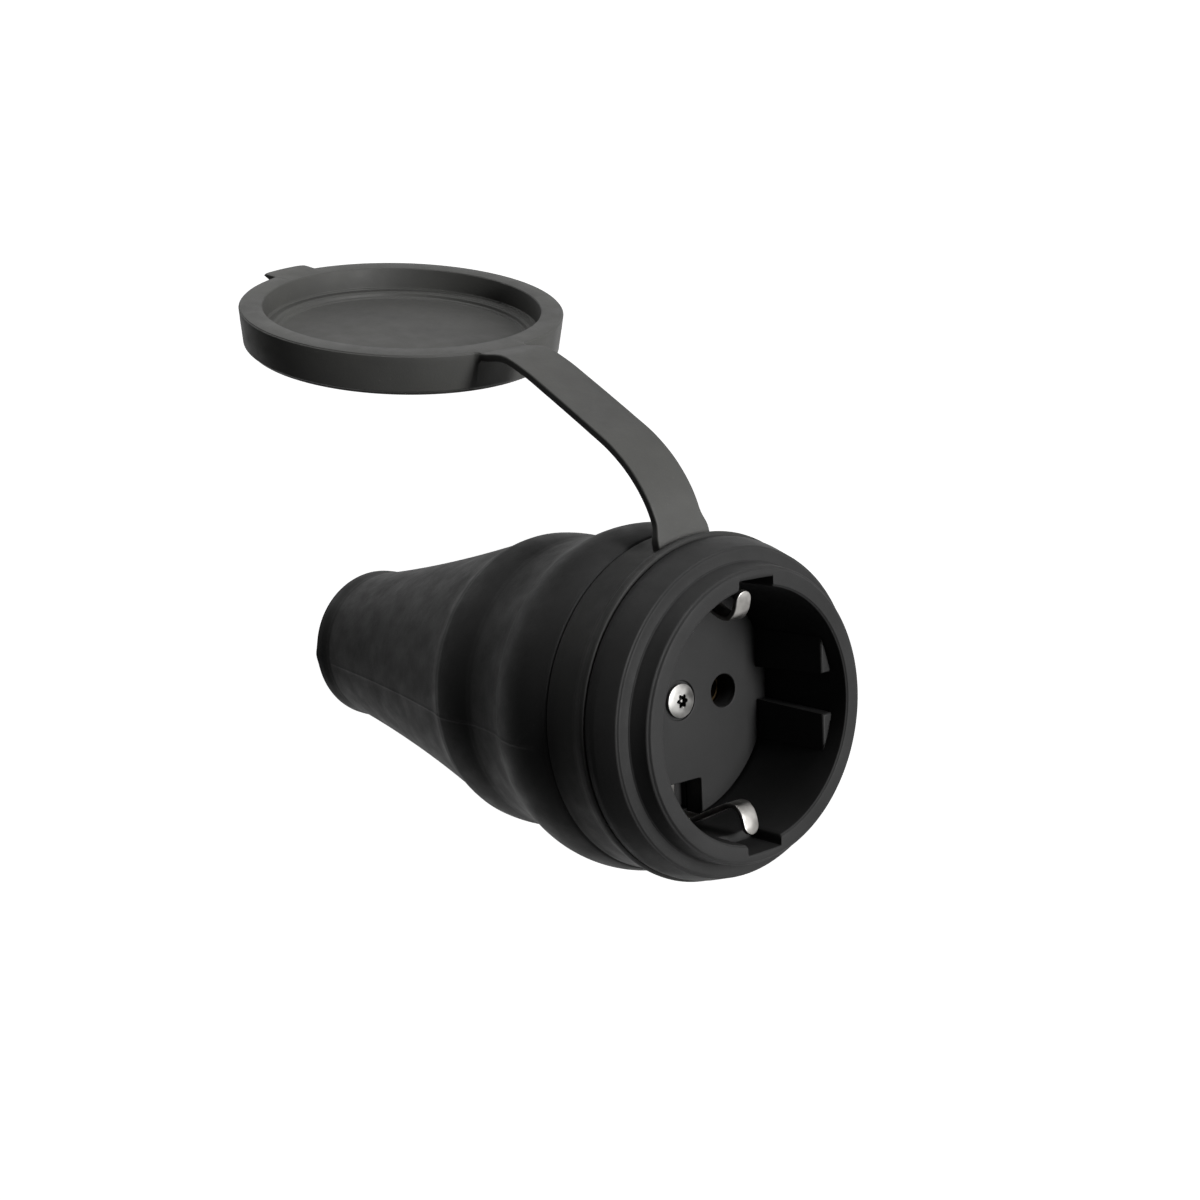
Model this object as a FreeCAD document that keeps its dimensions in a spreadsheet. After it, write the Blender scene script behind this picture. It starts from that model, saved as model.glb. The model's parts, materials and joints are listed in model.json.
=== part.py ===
import FreeCAD, Part
import math
import os
import Sketcher

# A rewirable rubber inline socket with its cover on a flexible strap.
# Each piece is drawn with the plug axis along X: the mouth of the recess is
# at x = 0, the cable leaves at the far negative end, the two pins lie on Y
# and the earth clips on Z. One placement then lays everything on the floor.

os.makedirs("parts", exist_ok=True)
doc = FreeCAD.newDocument("inline_socket")

# All sizes in millimetres, angles in degrees. A text is worked out from other sizes.
SIZES = [
    ("recess_radius", 19.4, "plug recess"),
    ("recess_depth", 17.5, "depth of the plug recess"),
    ("body_length", 107.0, "mouth of the recess to the tail end"),
    ("pin_spacing", 19.0, "distance between the two pins"),
    ("tail_radius", 14.5, "bead round the tail end"),
    ("tail_round", 3.0, "rounding of the tail end"),
    ("bead_length", 4.6, "length of the tail bead"),
    ("sleeve_radius", "tail_radius - 0.3", "sleeve just in front of the bead"),
    ("sleeve_mid_at", 76.0, "middle of the tapered sleeve"),
    ("sleeve_mid_radius", 18.45, "radius there"),
    ("shoulder_at", 51.4, "front end of the tapered sleeve"),
    ("groove_radius", "recess_radius + 5.3", "bottom of the ring groove"),
    ("grip_radius", "groove_radius + 3.15", "largest radius of the housing"),
    ("shoulder_radius", "grip_radius - 4.0", "radius there"),
    ("first_bulge_at", 49.0, "back of the first bulge"),
    ("first_bulge_radius", "grip_radius - 3.0", "radius there"),
    ("first_top_at", 45.2, "top of the first bulge"),
    ("first_top_radius", "grip_radius - 2.8", "radius there"),
    ("valley_at", 40.4, "valley between the two bulges"),
    ("valley_radius", "grip_radius - 3.3", "radius there"),
    ("flank_mid_at", 35.6, "hollow flank of the second bulge"),
    ("flank_mid_radius", "grip_radius - 2.8", "radius there"),
    ("flank_at", 31.0, "top end of that flank"),
    ("flank_radius", "grip_radius - 1.7", "radius there"),
    ("grip_at", 24.6, "top of the second bulge"),
    ("groove_back", 17.8, "back wall of the ring groove"),
    ("groove_back_radius", "groove_radius + 2.1", "radius there"),
    ("groove_front", 9.2, "front wall of the ring groove"),
    ("collar_radius", "groove_radius + 1.7", "back edge of the collar"),
    ("collar_front", 3.6, "front face of the collar, and length of the neck"),
    ("collar_front_radius", "groove_radius + 0.4", "front edge of the collar"),
    ("neck_root_radius", "recess_radius + 3.5", "neck at the collar"),
    ("neck_radius", "recess_radius + 3.0", "neck at the mouth"),
    ("mouth_round", 0.8, "outer rounding of the mouth"),
    ("seat_radius", "recess_radius + 1.6", "groove that holds the insert"),
    ("seat_length", 3.2, "length of that groove"),
    ("seat_start", "recess_depth + 0.5", "front wall of that groove"),
    ("cavity_end", 44.0, "end of the straight cavity"),
    ("cavity_mid_at", 62.0, "middle of the cavity's taper"),
    ("cavity_mid_radius", 13.2, "radius there"),
    ("bore_start", 79.0, "inner end of the cable bore"),
    ("cable_radius", 5.6, "cable bore in the tail"),
    ("notch_half_width", 3.5, "rim notch behind an earth clip"),
    ("notch_top", "recess_radius + 1.3", "outer wall of that notch"),
    ("notch_depth", 6.5, "length of that notch"),
    ("fit_gap", 0.1, "clearance between parts that fit together"),
    ("pin_hole_radius", 2.7, "pin hole in the face"),
    ("rib_chord", "recess_radius - 2.4", "inner face of the guide ribs"),
    ("rib_gap", 2.7, "half the gap between two guide ribs"),
    ("rib_front", 3.0, "front end of the guide ribs"),
    ("slot_half_width", 3.9, "slot for an earth clip"),
    ("slot_inner", "recess_radius - 6.2", "inner edge of that slot"),
    ("carrier_radius", "recess_radius - 0.4", "contact carrier"),
    ("carrier_length", 11.6, "thick part of the contact carrier"),
    ("tray_half_width", 11.4, "tray behind the carrier"),
    ("tray_low", -8.0, "underside of the tray"),
    ("tray_top", -4.0, "top of the tray"),
    ("tray_end", 56.0, "rear end of the tray"),
    ("sleeve_outer", 3.6, "contact sleeve outside"),
    ("sleeve_inner", 2.45, "contact sleeve inside"),
    ("block_width", 7.6, "terminal block across"),
    ("block_length", 9.0, "terminal block along the cable"),
    ("wire_radius", 1.9, "wire hole of a terminal"),
    ("thread_radius", 1.75, "thread of a terminal or clamp screw"),
    ("strip_thickness", 0.9, "earth strip"),
    ("strip_half_width", 3.6, "earth strip behind the face"),
    ("clip_half_width", 1.55, "earth clip"),
    ("clip_nose", "recess_radius - 5.4", "height of an earth clip's bend above the axis"),
    ("clip_nose_at", 4.6, "depth of that bend"),
    ("clip_tip_at", 2.3, "depth of an earth clip's end"),
    ("clip_tip", "recess_radius - 0.2", "height of that end"),
    ("clip_root_at", "recess_depth - 2.7", "where an earth clip leaves the wall"),
    ("screw_head_radius", 2.8, "head of the centre screw"),
    ("screw_head_height", 1.7, "height of that head"),
    ("nut_flat", 6.0, "centre nut across its flats"),
    ("nut_height", 2.8, "centre nut"),
    ("clamp_screw_side", 8.6, "clamp screw beside the cable"),
    ("clamp_at", 52.4, "middle of the cable clamp"),
    ("clamp_length", 6.0, "clamp bar along the cable"),
    ("clamp_low", 4.4, "underside of the clamp bar"),
    ("clamp_height", 3.2, "clamp bar"),
    ("ring_lip_radius", "groove_radius + 2.4", "front lip of the strap ring"),
    ("ring_radius", "groove_radius + 1.7", "strap ring between its edges"),
    ("strap_width", 9.2, "strap"),
    ("strap_thickness", 1.3, "strap"),
    ("cap_bore", "neck_root_radius + 0.5", "inside of the cover"),
    ("cap_radius", "cap_bore + 4.9", "rim of the cover"),
    ("cap_base_radius", "cap_radius - 0.6", "closed end of the cover"),
    ("cap_height", 7.15, "height of the cover"),
    ("cap_step_depth", 3.65, "depth at which the cover's inner step starts"),
    ("cap_step_radius", "cap_bore - 2.8", "radius inside that step"),
    ("cap_depth", 5.2, "inner depth of the cover"),
    ("cap_mouth_round", 0.9, "inner rounding of the rim"),
    ("cap_base_round", 1.4, "outer rounding of the closed end"),
    ("cap_tilt", 17.8, "slope of the open cover's rim"),
    ("cap_rim_x", -49.0, "strap side of the rim, along the axis"),
    ("cap_rim_z", "ring_radius + 30.3", "and above it"),
    ("tab_angle", 11.0, "pull tab, off the point opposite the strap"),
    ("tab_width", 9.6, "pull tab"),
    ("tab_reach", 3.5, "how far it stands out"),
    ("tab_thickness", 1.6, "pull tab"),
    ("earth_low", 7.2, "underside of the earth terminal above the axis"),
]
# Hinge points on the strap's front face, from the ring to the cover: distance
# along the axis, and height above the strap ring.
PIVOTS = [(-11.33, 1.20), (-12.78, 6.52), (-15.63, 11.26), (-19.52, 15.16), (-24.07, 18.32),
          (-28.70, 21.36), (-33.36, 24.36), (-38.08, 27.28), (-43.13, 29.58), (-48.59, 30.30)]


class Size:
    """A number together with the sheet expression that gives it."""

    def __init__(self, text, value):
        self.text = text
        self.value = value

    def joined(self, sign, other, value):
        return Size("(" + self.text + " " + sign + " " + wrap(other).text + ")", value)

    def __add__(self, other):
        return self.joined("+", other, self.value + wrap(other).value)

    def __sub__(self, other):
        return self.joined("-", other, self.value - wrap(other).value)

    def __mul__(self, other):
        return self.joined("*", other, self.value * wrap(other).value)

    def __truediv__(self, other):
        return self.joined("/", other, self.value / wrap(other).value)

    def __neg__(self):
        return Size("(0 - " + self.text + ")", -self.value)


def wrap(number):
    return number if isinstance(number, Size) else Size(str(number), float(number))


def cosine(angle):
    return Size("cos(" + angle.text + " * 1deg)", math.cos(math.radians(angle.value)))


def sine(angle):
    return Size("sin(" + angle.text + " * 1deg)", math.sin(math.radians(angle.value)))


def root(square):
    return Size("sqrt(" + square.text + ")", math.sqrt(square.value))


def bearing(start, end):
    return math.degrees(math.atan2(end[1] - start[1], end[0] - start[0]))


def strap_rows():
    """Sheet rows of the hinge points and of the way each joint face leans."""
    rows = []
    slope = [value for alias, value, note in SIZES if alias == "cap_tilt"][0]
    turns = [90.0] + [bearing(a, b) for a, b in zip(PIVOTS, PIVOTS[1:])] + [180.0 - slope]
    for number, (x, z) in enumerate(PIVOTS):
        lean = (turns[number] + turns[number + 1]) / 2 + 90.0
        rows.append((f"pivot_x{number}", x, "strap hinge along the axis"))
        rows.append((f"pivot_z{number}", f"ring_radius + {z}", "strap hinge above the axis"))
        rows.append((f"pivot_lean{number}", round(lean, 2), "direction through the strap there"))
    return rows


sheet = doc.addObject("Spreadsheet::Sheet", "Sizes")
rows = SIZES + strap_rows()
for line, (alias, value, note) in enumerate(rows, start=1):
    sheet.set(f"A{line}", alias)
    sheet.set(f"B{line}", "=" + value if isinstance(value, str) else str(value))
    sheet.set(f"C{line}", note)
    sheet.setAlias(f"B{line}", alias)
doc.recompute()
d = {alias: Size("Sizes." + alias, float(sheet.get(alias))) for alias, value, note in rows}
ZERO = wrap(0)


def new_body(name):
    body = doc.addObject("PartDesign::Body", name)
    body.Label = name
    return body


def sketch_on(body, role, name, offset=None):
    """A sketch on one of the body's own planes, moved along its normal."""
    sketch = body.newObject("Sketcher::SketchObject", name)
    plane = [item for item in body.Origin.OriginFeatures if item.Role == role][0]
    sketch.AttachmentSupport = [(plane, "")]
    sketch.MapMode = "FlatFace"
    if offset is not None:
        sketch.AttachmentOffset = FreeCAD.Placement(FreeCAD.Vector(0, 0, offset.value), FreeCAD.Rotation())
        sketch.setExpression("AttachmentOffset.Base.z", offset.text)
    return sketch


def hold(sketch, kind, *terms):
    """Adds a constraint whose last term is a Size bound to the sheet."""
    number = sketch.addConstraint(Sketcher.Constraint(kind, *terms[:-1], terms[-1].value))
    sketch.setExpression(f"Constraints[{number}]", terms[-1].text)


def pin_point(sketch, geometry, end, point):
    for kind, size in (("DistanceX", point[0]), ("DistanceY", point[1])):
        if size.text == "0":
            if kind == "DistanceX":
                sketch.addConstraint(Sketcher.Constraint("PointOnObject", geometry, end, -2))
            else:
                sketch.addConstraint(Sketcher.Constraint("PointOnObject", geometry, end, -1))
        else:
            hold(sketch, kind, -1, 1, geometry, end, size)


def vector(point):
    return FreeCAD.Vector(point[0].value, point[1].value, 0)


def outline(sketch, start, steps):
    """A closed outline. A step is the next point, or a point on an arc and its end."""
    here = start
    first = None
    previous = None
    for step in steps:
        through, there = step if len(step) == 2 and isinstance(step[0], tuple) else (None, step)
        if through is None:
            number = sketch.addGeometry(Part.LineSegment(vector(here), vector(there)), False)
            ends = (1, 2)
        else:
            arc = Part.Arc(vector(here), vector(through), vector(there))
            number = sketch.addGeometry(arc, False)
            gap = sketch.getPoint(number, 1).sub(vector(here)).Length
            ends = (1, 2) if gap < 0.001 else (2, 1)
            mark = sketch.addGeometry(Part.Point(vector(through)), True)
            pin_point(sketch, mark, 1, through)
            sketch.addConstraint(Sketcher.Constraint("PointOnObject", mark, 1, number))
        pin_point(sketch, number, ends[1], there)
        if previous is None:
            first = (number, ends[0])
        else:
            sketch.addConstraint(Sketcher.Constraint("Coincident", previous[0], previous[1], number, ends[0]))
        previous = (number, ends[1])
        here = there
    sketch.addConstraint(Sketcher.Constraint("Coincident", previous[0], previous[1], first[0], first[1]))


def polygon(sketch, points):
    outline(sketch, points[0], [point for point in points[1:]] + [points[0]])


def box_outline(sketch, left, low, right, high):
    polygon(sketch, [(left, low), (right, low), (right, high), (left, high)])


def circle(sketch, across, up, radius):
    number = sketch.addGeometry(Part.Circle(FreeCAD.Vector(across.value, up.value, 0), FreeCAD.Vector(0, 0, 1),
                                            radius.value), False)
    if across.text == "0" and up.text == "0":
        sketch.addConstraint(Sketcher.Constraint("Coincident", number, 3, -1, 1))
    else:
        pin_point(sketch, number, 3, (across, up))
    hold(sketch, "Radius", number, radius)


def revolve(body, sketch, name, groove=False):
    """Turns a sketch about its own horizontal axis."""
    kind = "PartDesign::Groove" if groove else "PartDesign::Revolution"
    feature = body.newObject(kind, name)
    feature.Profile = sketch
    feature.ReferenceAxis = (sketch, ["H_Axis"])
    feature.Angle = 360.0
    sketch.Visibility = False
    doc.recompute()
    return feature


def pad(body, sketch, name, length, middle=False, back=False):
    feature = body.newObject("PartDesign::Pad", name)
    feature.Profile = sketch
    feature.Length = length.value
    feature.setExpression("Length", length.text)
    feature.Midplane = middle
    feature.Reversed = back
    doc.recompute()
    return feature


def pocket(body, sketch, name, length=None, middle=False, back=False):
    """Cuts a sketch, and stops if nothing was cut."""
    before = body.Shape.Volume
    feature = body.newObject("PartDesign::Pocket", name)
    feature.Profile = sketch
    if length is None:
        feature.Type = 1
    else:
        feature.Length = length.value
        feature.setExpression("Length", length.text)
    feature.Midplane = middle
    feature.Reversed = back
    doc.recompute()
    if not feature.Shape.isValid() or feature.Shape.Volume > before - 0.01:
        raise RuntimeError(name + " cuts nothing")
    return feature


def ring_edges(shape, along, radius):
    """Names of the circular edges about X at one place."""
    names = []
    for number, edge in enumerate(shape.Edges, start=1):
        if isinstance(edge.Curve, Part.Circle) and abs(edge.Curve.Radius - radius) < 0.02:
            if abs(edge.Curve.Center.x - along) < 0.02 and abs(edge.Curve.Center.y) < 0.02:
                names.append(f"Edge{number}")
    return names


def straight_edges(shape, wanted):
    """Names of the straight edges whose middle point passes a test."""
    names = []
    for number, edge in enumerate(shape.Edges, start=1):
        if isinstance(edge.Curve, Part.Line) or isinstance(edge.Curve, Part.LineSegment):
            middle = edge.valueAt((edge.FirstParameter + edge.LastParameter) / 2)
            if wanted(middle, edge):
                names.append(f"Edge{number}")
    return names


def soften(body, kind, name, edges, size):
    """A fillet or chamfer on named edges of the body's last feature."""
    if not edges:
        raise RuntimeError(name + " finds no edge")
    last = body.Tip
    feature = body.newObject("PartDesign::" + kind, name)
    feature.Base = (last, edges)
    prop = "Radius" if kind == "Fillet" else "Size"
    setattr(feature, prop, size.value)
    feature.setExpression(prop, size.text)
    doc.recompute()
    if not feature.Shape.isValid():
        raise RuntimeError(name + " fails")
    return feature


def make_housing():
    body = new_body("housing")
    profile = sketch_on(body, "XZ_Plane", "housing_profile")
    outline(profile, (-d["body_length"], d["cable_radius"]), [
        (-d["body_length"], d["tail_radius"]),
        (-(d["body_length"] - d["bead_length"]), d["tail_radius"]),
        (-(d["body_length"] - d["bead_length"] - 0.6), d["sleeve_radius"]),
        ((-d["sleeve_mid_at"], d["sleeve_mid_radius"]), (-d["shoulder_at"], d["shoulder_radius"])),
        (-d["first_bulge_at"], d["first_bulge_radius"]),
        ((-d["first_top_at"], d["first_top_radius"]), (-d["valley_at"], d["valley_radius"])),
        ((-d["flank_mid_at"], d["flank_mid_radius"]), (-d["flank_at"], d["flank_radius"])),
        ((-d["grip_at"], d["grip_radius"]), (-d["groove_back"], d["groove_back_radius"])),
        (-d["groove_back"], d["groove_radius"]),
        (-d["groove_front"], d["groove_radius"]),
        (-d["groove_front"], d["collar_radius"]),
        (-(d["groove_front"] - 1.6), d["collar_radius"]),
        (-d["collar_front"], d["collar_front_radius"]),
        (-d["collar_front"], d["neck_root_radius"]),
        (ZERO, d["neck_radius"]),
        (ZERO, d["recess_radius"]),
        (-d["seat_start"], d["recess_radius"]),
        (-d["seat_start"], d["seat_radius"]),
        (-(d["seat_start"] + d["seat_length"]), d["seat_radius"]),
        (-(d["seat_start"] + d["seat_length"]), d["recess_radius"]),
        (-d["cavity_end"], d["recess_radius"]),
        (-d["cavity_mid_at"], d["cavity_mid_radius"]),
        (-d["bore_start"], d["cable_radius"]),
        (-d["body_length"], d["cable_radius"]),
    ])
    revolve(body, profile, "housing_form")
    shape = body.Shape
    tail = ring_edges(shape, -d["body_length"].value, d["tail_radius"].value)
    soften(body, "Fillet", "tail_rounding", tail, d["tail_round"])
    shoulder = ring_edges(body.Shape, -d["first_bulge_at"].value, d["first_bulge_radius"].value)
    soften(body, "Fillet", "bulge_rounding", shoulder, wrap(2.0))
    collar = ring_edges(body.Shape, -d["collar_front"].value, d["collar_front_radius"].value)
    soften(body, "Fillet", "collar_rounding", collar, wrap(0.7))
    mouth = ring_edges(body.Shape, 0.0, d["neck_radius"].value)
    soften(body, "Fillet", "mouth_rounding", mouth, d["mouth_round"])
    inner = ring_edges(body.Shape, 0.0, d["recess_radius"].value)
    entry = ring_edges(body.Shape, -d["body_length"].value, d["cable_radius"].value)
    soften(body, "Chamfer", "mouth_bevels", inner + entry, wrap(0.4))
    notches = sketch_on(body, "YZ_Plane", "notch_outline", wrap(1.0))
    half = d["notch_half_width"]
    inside = d["recess_radius"] - 3.4
    box_outline(notches, -half, inside, half, d["notch_top"])
    box_outline(notches, -half, -d["notch_top"], half, -inside)
    pocket(body, notches, "rim_notches", d["notch_depth"] + 1.0)
    return body


def rib_outline(sketch, side, level):
    """One guide rib against the recess wall, in the quarter given by two signs."""
    radius = d["recess_radius"] - d["fit_gap"]
    chord, gap = d["rib_chord"] * side, d["rib_gap"] * level
    top = root(radius * radius - d["rib_chord"] * d["rib_chord"]) * level
    outer = root(radius * radius - d["rib_gap"] * d["rib_gap"]) * side
    middle = math.radians(18.0)
    through = (radius * (side * math.cos(middle)), radius * (level * math.sin(middle)))
    outline(sketch, (chord, gap), [(outer, gap), (through, (chord, top)), (chord, gap)])


def make_insert():
    body = new_body("insert_face")
    gap = d["fit_gap"]
    back = d["seat_start"] + d["seat_length"] - gap
    profile = sketch_on(body, "XZ_Plane", "insert_profile")
    polygon(profile, [(-back, ZERO), (-back, d["seat_radius"] - gap), (-(d["seat_start"] + gap), d["seat_radius"] - gap),
                      (-(d["seat_start"] + gap), d["recess_radius"] - gap),
                      (-d["recess_depth"], d["recess_radius"] - gap), (-d["recess_depth"], ZERO)])
    revolve(body, profile, "insert_disc")
    ribs = sketch_on(body, "YZ_Plane", "rib_outlines", -d["recess_depth"])
    for side in (1, -1):
        for level in (1, -1):
            rib_outline(ribs, side, level)
    pad(body, ribs, "guide_ribs", d["recess_depth"] - d["rib_front"])
    seat = sketch_on(body, "YZ_Plane", "screw_seat_outline", -d["recess_depth"])
    circle(seat, ZERO, ZERO, d["screw_head_radius"] + 0.35)
    pocket(body, seat, "screw_seat", wrap(0.45))
    holes = sketch_on(body, "YZ_Plane", "hole_outlines", -d["recess_depth"])
    circle(holes, d["pin_spacing"] / 2, ZERO, d["pin_hole_radius"])
    circle(holes, -(d["pin_spacing"] / 2), ZERO, d["pin_hole_radius"])
    circle(holes, ZERO, ZERO, d["thread_radius"] + 0.3)
    pocket(body, holes, "face_holes")
    slots = sketch_on(body, "YZ_Plane", "slot_outlines", -d["recess_depth"] + 1.0)
    half = d["slot_half_width"]
    outer = d["seat_radius"] + 3.0
    box_outline(slots, -half, d["slot_inner"], half, outer)
    box_outline(slots, -half, -outer, half, -d["slot_inner"])
    pocket(body, slots, "clip_slots")
    rims = []
    for side in (1, -1):
        rims += hole_edges(body.Shape, -d["recess_depth"].value, side * d["pin_spacing"].value / 2,
                           d["pin_hole_radius"].value)
    soften(body, "Chamfer", "pin_hole_bevels", rims, wrap(0.35))
    front = -d["rib_front"].value
    tips = straight_edges(body.Shape, lambda m, e: abs(m.x - front) < 0.01 and abs(abs(m.y) - d["rib_chord"].value) < 0.01)
    soften(body, "Chamfer", "rib_bevels", tips, wrap(0.8))
    return body


def hole_edges(shape, along, across, radius):
    names = []
    for number, edge in enumerate(shape.Edges, start=1):
        if isinstance(edge.Curve, Part.Circle) and abs(edge.Curve.Radius - radius) < 0.02:
            centre = edge.Curve.Center
            if abs(centre.x - along) < 0.02 and abs(centre.y - across) < 0.02:
                names.append(f"Edge{number}")
    return names


def carrier_front():
    return d["seat_start"] + d["seat_length"] + d["fit_gap"]


def make_carrier():
    body = new_body("contact_carrier")
    front = carrier_front()
    disc = sketch_on(body, "YZ_Plane", "carrier_outline", -front)
    circle(disc, ZERO, ZERO, d["carrier_radius"])
    pad(body, disc, "carrier_block", d["carrier_length"], back=True)
    rear = front + d["carrier_length"]
    tray = sketch_on(body, "YZ_Plane", "tray_outline", -rear + 0.5)
    wide = d["tray_half_width"]
    box_outline(tray, -wide, d["tray_low"], wide, d["tray_top"])
    pad(body, tray, "carrier_tray", d["tray_end"] - rear + 0.5, back=True)
    posts = sketch_on(body, "XY_Plane", "post_outlines", d["tray_top"] - 0.2)
    for side in (1, -1):
        circle(posts, -d["clamp_at"], d["clamp_screw_side"] * side, wrap(2.7))
    pad(body, posts, "clamp_posts", d["clamp_low"] - d["tray_top"] - 1.4)
    bores = sketch_on(body, "YZ_Plane", "sleeve_bores_outline", -front)
    for side in (1, -1):
        circle(bores, d["pin_spacing"] / 2 * side, ZERO, d["sleeve_outer"] + d["fit_gap"])
    pocket(body, bores, "sleeve_bores", d["carrier_length"] + 0.001)
    groove = sketch_on(body, "YZ_Plane", "strip_groove_outline", -front)
    outer = d["carrier_radius"] + 1.0
    box_outline(groove, -(d["strip_half_width"] + 0.15), -outer, d["strip_half_width"] + 0.15, outer)
    pocket(body, groove, "strip_groove", d["strip_thickness"])
    chamber = sketch_on(body, "YZ_Plane", "earth_chamber_outline", -front)
    half = d["block_width"] / 2 + d["fit_gap"]
    box_outline(chamber, -half, d["earth_low"] - 0.3, half, outer)
    pocket(body, chamber, "earth_chamber", d["carrier_length"] + 0.001)
    shaft = sketch_on(body, "YZ_Plane", "centre_bore_outline", -front)
    circle(shaft, ZERO, ZERO, d["thread_radius"] + 0.2)
    pocket(body, shaft, "centre_bore", d["carrier_length"] + 0.001)
    hexagon = sketch_on(body, "YZ_Plane", "nut_pocket_outline", -rear)
    polygon(hexagon, hex_points(d["nut_flat"] / 2 + d["fit_gap"]))
    pocket(body, hexagon, "nut_pocket", d["nut_height"], back=True)
    saddle = sketch_on(body, "YZ_Plane", "saddle_outline", -d["tray_end"])
    circle(saddle, ZERO, d["tray_top"] + 4.2, wrap(5.0))
    pocket(body, saddle, "cable_saddle", d["clamp_length"] + 1.0, back=True)
    threads = sketch_on(body, "XY_Plane", "clamp_thread_outline", d["clamp_low"] - 1.6)
    for side in (1, -1):
        circle(threads, -d["clamp_at"], d["clamp_screw_side"] * side, d["thread_radius"] + 0.05)
    pocket(body, threads, "clamp_threads", wrap(8.0))
    return body


def hex_points(flat):
    """Corners of a hexagon about the centre, flats at left and right."""
    corner = flat / math.cos(math.radians(30))
    return [(corner * math.sin(math.radians(60 * k)), corner * math.cos(math.radians(60 * k))) for k in range(6)]


def make_sleeve(name, side):
    """A contact: a sleeve for the pin, and the terminal block behind it."""
    body = new_body(name)
    front = carrier_front() + 0.3
    rear = carrier_front() + d["carrier_length"]
    centre = d["pin_spacing"] / 2 * side
    ring = sketch_on(body, "YZ_Plane", name + "_ring", -front)
    circle(ring, centre, ZERO, d["sleeve_outer"])
    pad(body, ring, name + "_tube", rear - front + 0.4, back=True)
    half = d["block_width"] / 2
    block = sketch_on(body, "YZ_Plane", name + "_block_outline", -(rear + 0.2))
    box_outline(block, centre - half, d["tray_top"], centre + half, d["tray_top"] + d["block_width"])
    pad(body, block, name + "_block", d["block_length"], back=True)
    bore = sketch_on(body, "YZ_Plane", name + "_bore_outline", -front)
    circle(bore, centre, ZERO, d["sleeve_inner"])
    pocket(body, bore, name + "_bore", rear - front - 0.6)
    slit = sketch_on(body, "YZ_Plane", name + "_slit_outline", -front)
    box_outline(slit, centre - 0.4, wrap(-5), centre + 0.4, wrap(5))
    pocket(body, slit, name + "_slit", wrap(8.5))
    wire = sketch_on(body, "YZ_Plane", name + "_wire_outline", -(rear + 0.2 + d["block_length"]))
    circle(wire, centre, d["tray_top"] + d["block_width"] / 2, d["wire_radius"])
    pocket(body, wire, name + "_wire_hole", d["block_length"] - 1.5, back=True)
    thread = sketch_on(body, "XY_Plane", name + "_thread_outline", d["tray_top"] + d["block_width"])
    circle(thread, -(rear + 0.2 + d["block_length"] * 0.55), centre, d["thread_radius"] + 0.05)
    pocket(body, thread, name + "_thread", d["block_width"] / 2)
    return body


def make_earth_strip():
    """One bent strip: its web lies behind the face and its two ends are the clips."""
    body = new_body("earth_strip")
    front = carrier_front()
    thick = d["strip_thickness"]
    wall = d["clip_tip"]
    web = sketch_on(body, "YZ_Plane", "strip_web_outline", -front)
    wide = d["strip_half_width"]
    box_outline(web, -wide, -(wall - 0.6), wide, wall - 0.6)
    pad(body, web, "strip_web", thick, back=True)
    for name, sign in (("upper", 1), ("lower", -1)):
        arm = sketch_on(body, "XZ_Plane", name + "_clip_outline")
        nose = d["clip_nose"]
        polygon(arm, [(-(front + thick), wall * sign), (-d["clip_root_at"], wall * sign),
                      (-(d["clip_nose_at"] + 1.6), (nose + thick + 0.5) * sign),
                      (-(d["clip_nose_at"] + 0.2), (nose + thick) * sign),
                      (-(d["clip_tip_at"] + thick), (wall - 0.2) * sign),
                      (-d["clip_tip_at"], wall * sign),
                      (-(d["clip_nose_at"] - 0.75), nose * sign), (-(d["clip_nose_at"] + 0.5), (nose - 0.1) * sign),
                      (-(d["clip_nose_at"] + 1.9), (nose + 0.25) * sign),
                      (-(d["clip_root_at"] - 0.3), (wall - thick - 0.05) * sign),
                      (-(front + thick), (wall - thick) * sign)])
        pad(body, arm, name + "_clip", d["clip_half_width"] * 2, middle=True)
    hole = sketch_on(body, "YZ_Plane", "strip_hole_outline", -front)
    circle(hole, ZERO, ZERO, d["thread_radius"] + 0.35)
    pocket(body, hole, "strip_hole")
    return body


def make_earth_terminal():
    body = new_body("earth_terminal")
    start = carrier_front() + d["strip_thickness"]
    half = d["block_width"] / 2
    low = d["earth_low"]
    block = sketch_on(body, "YZ_Plane", "earth_block_outline", -start)
    box_outline(block, -half, low, half, low + d["block_width"])
    pad(body, block, "earth_block", d["block_length"], back=True)
    wire = sketch_on(body, "YZ_Plane", "earth_wire_outline", -(start + d["block_length"]))
    circle(wire, ZERO, low + d["block_width"] / 2, d["wire_radius"])
    pocket(body, wire, "earth_wire_hole", d["block_length"] - 1.5, back=True)
    thread = sketch_on(body, "XY_Plane", "earth_thread_outline", low + d["block_width"])
    circle(thread, -(start + d["block_length"] * 0.55), ZERO, d["thread_radius"] + 0.05)
    pocket(body, thread, "earth_thread", d["block_width"] / 2)
    return body


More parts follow.
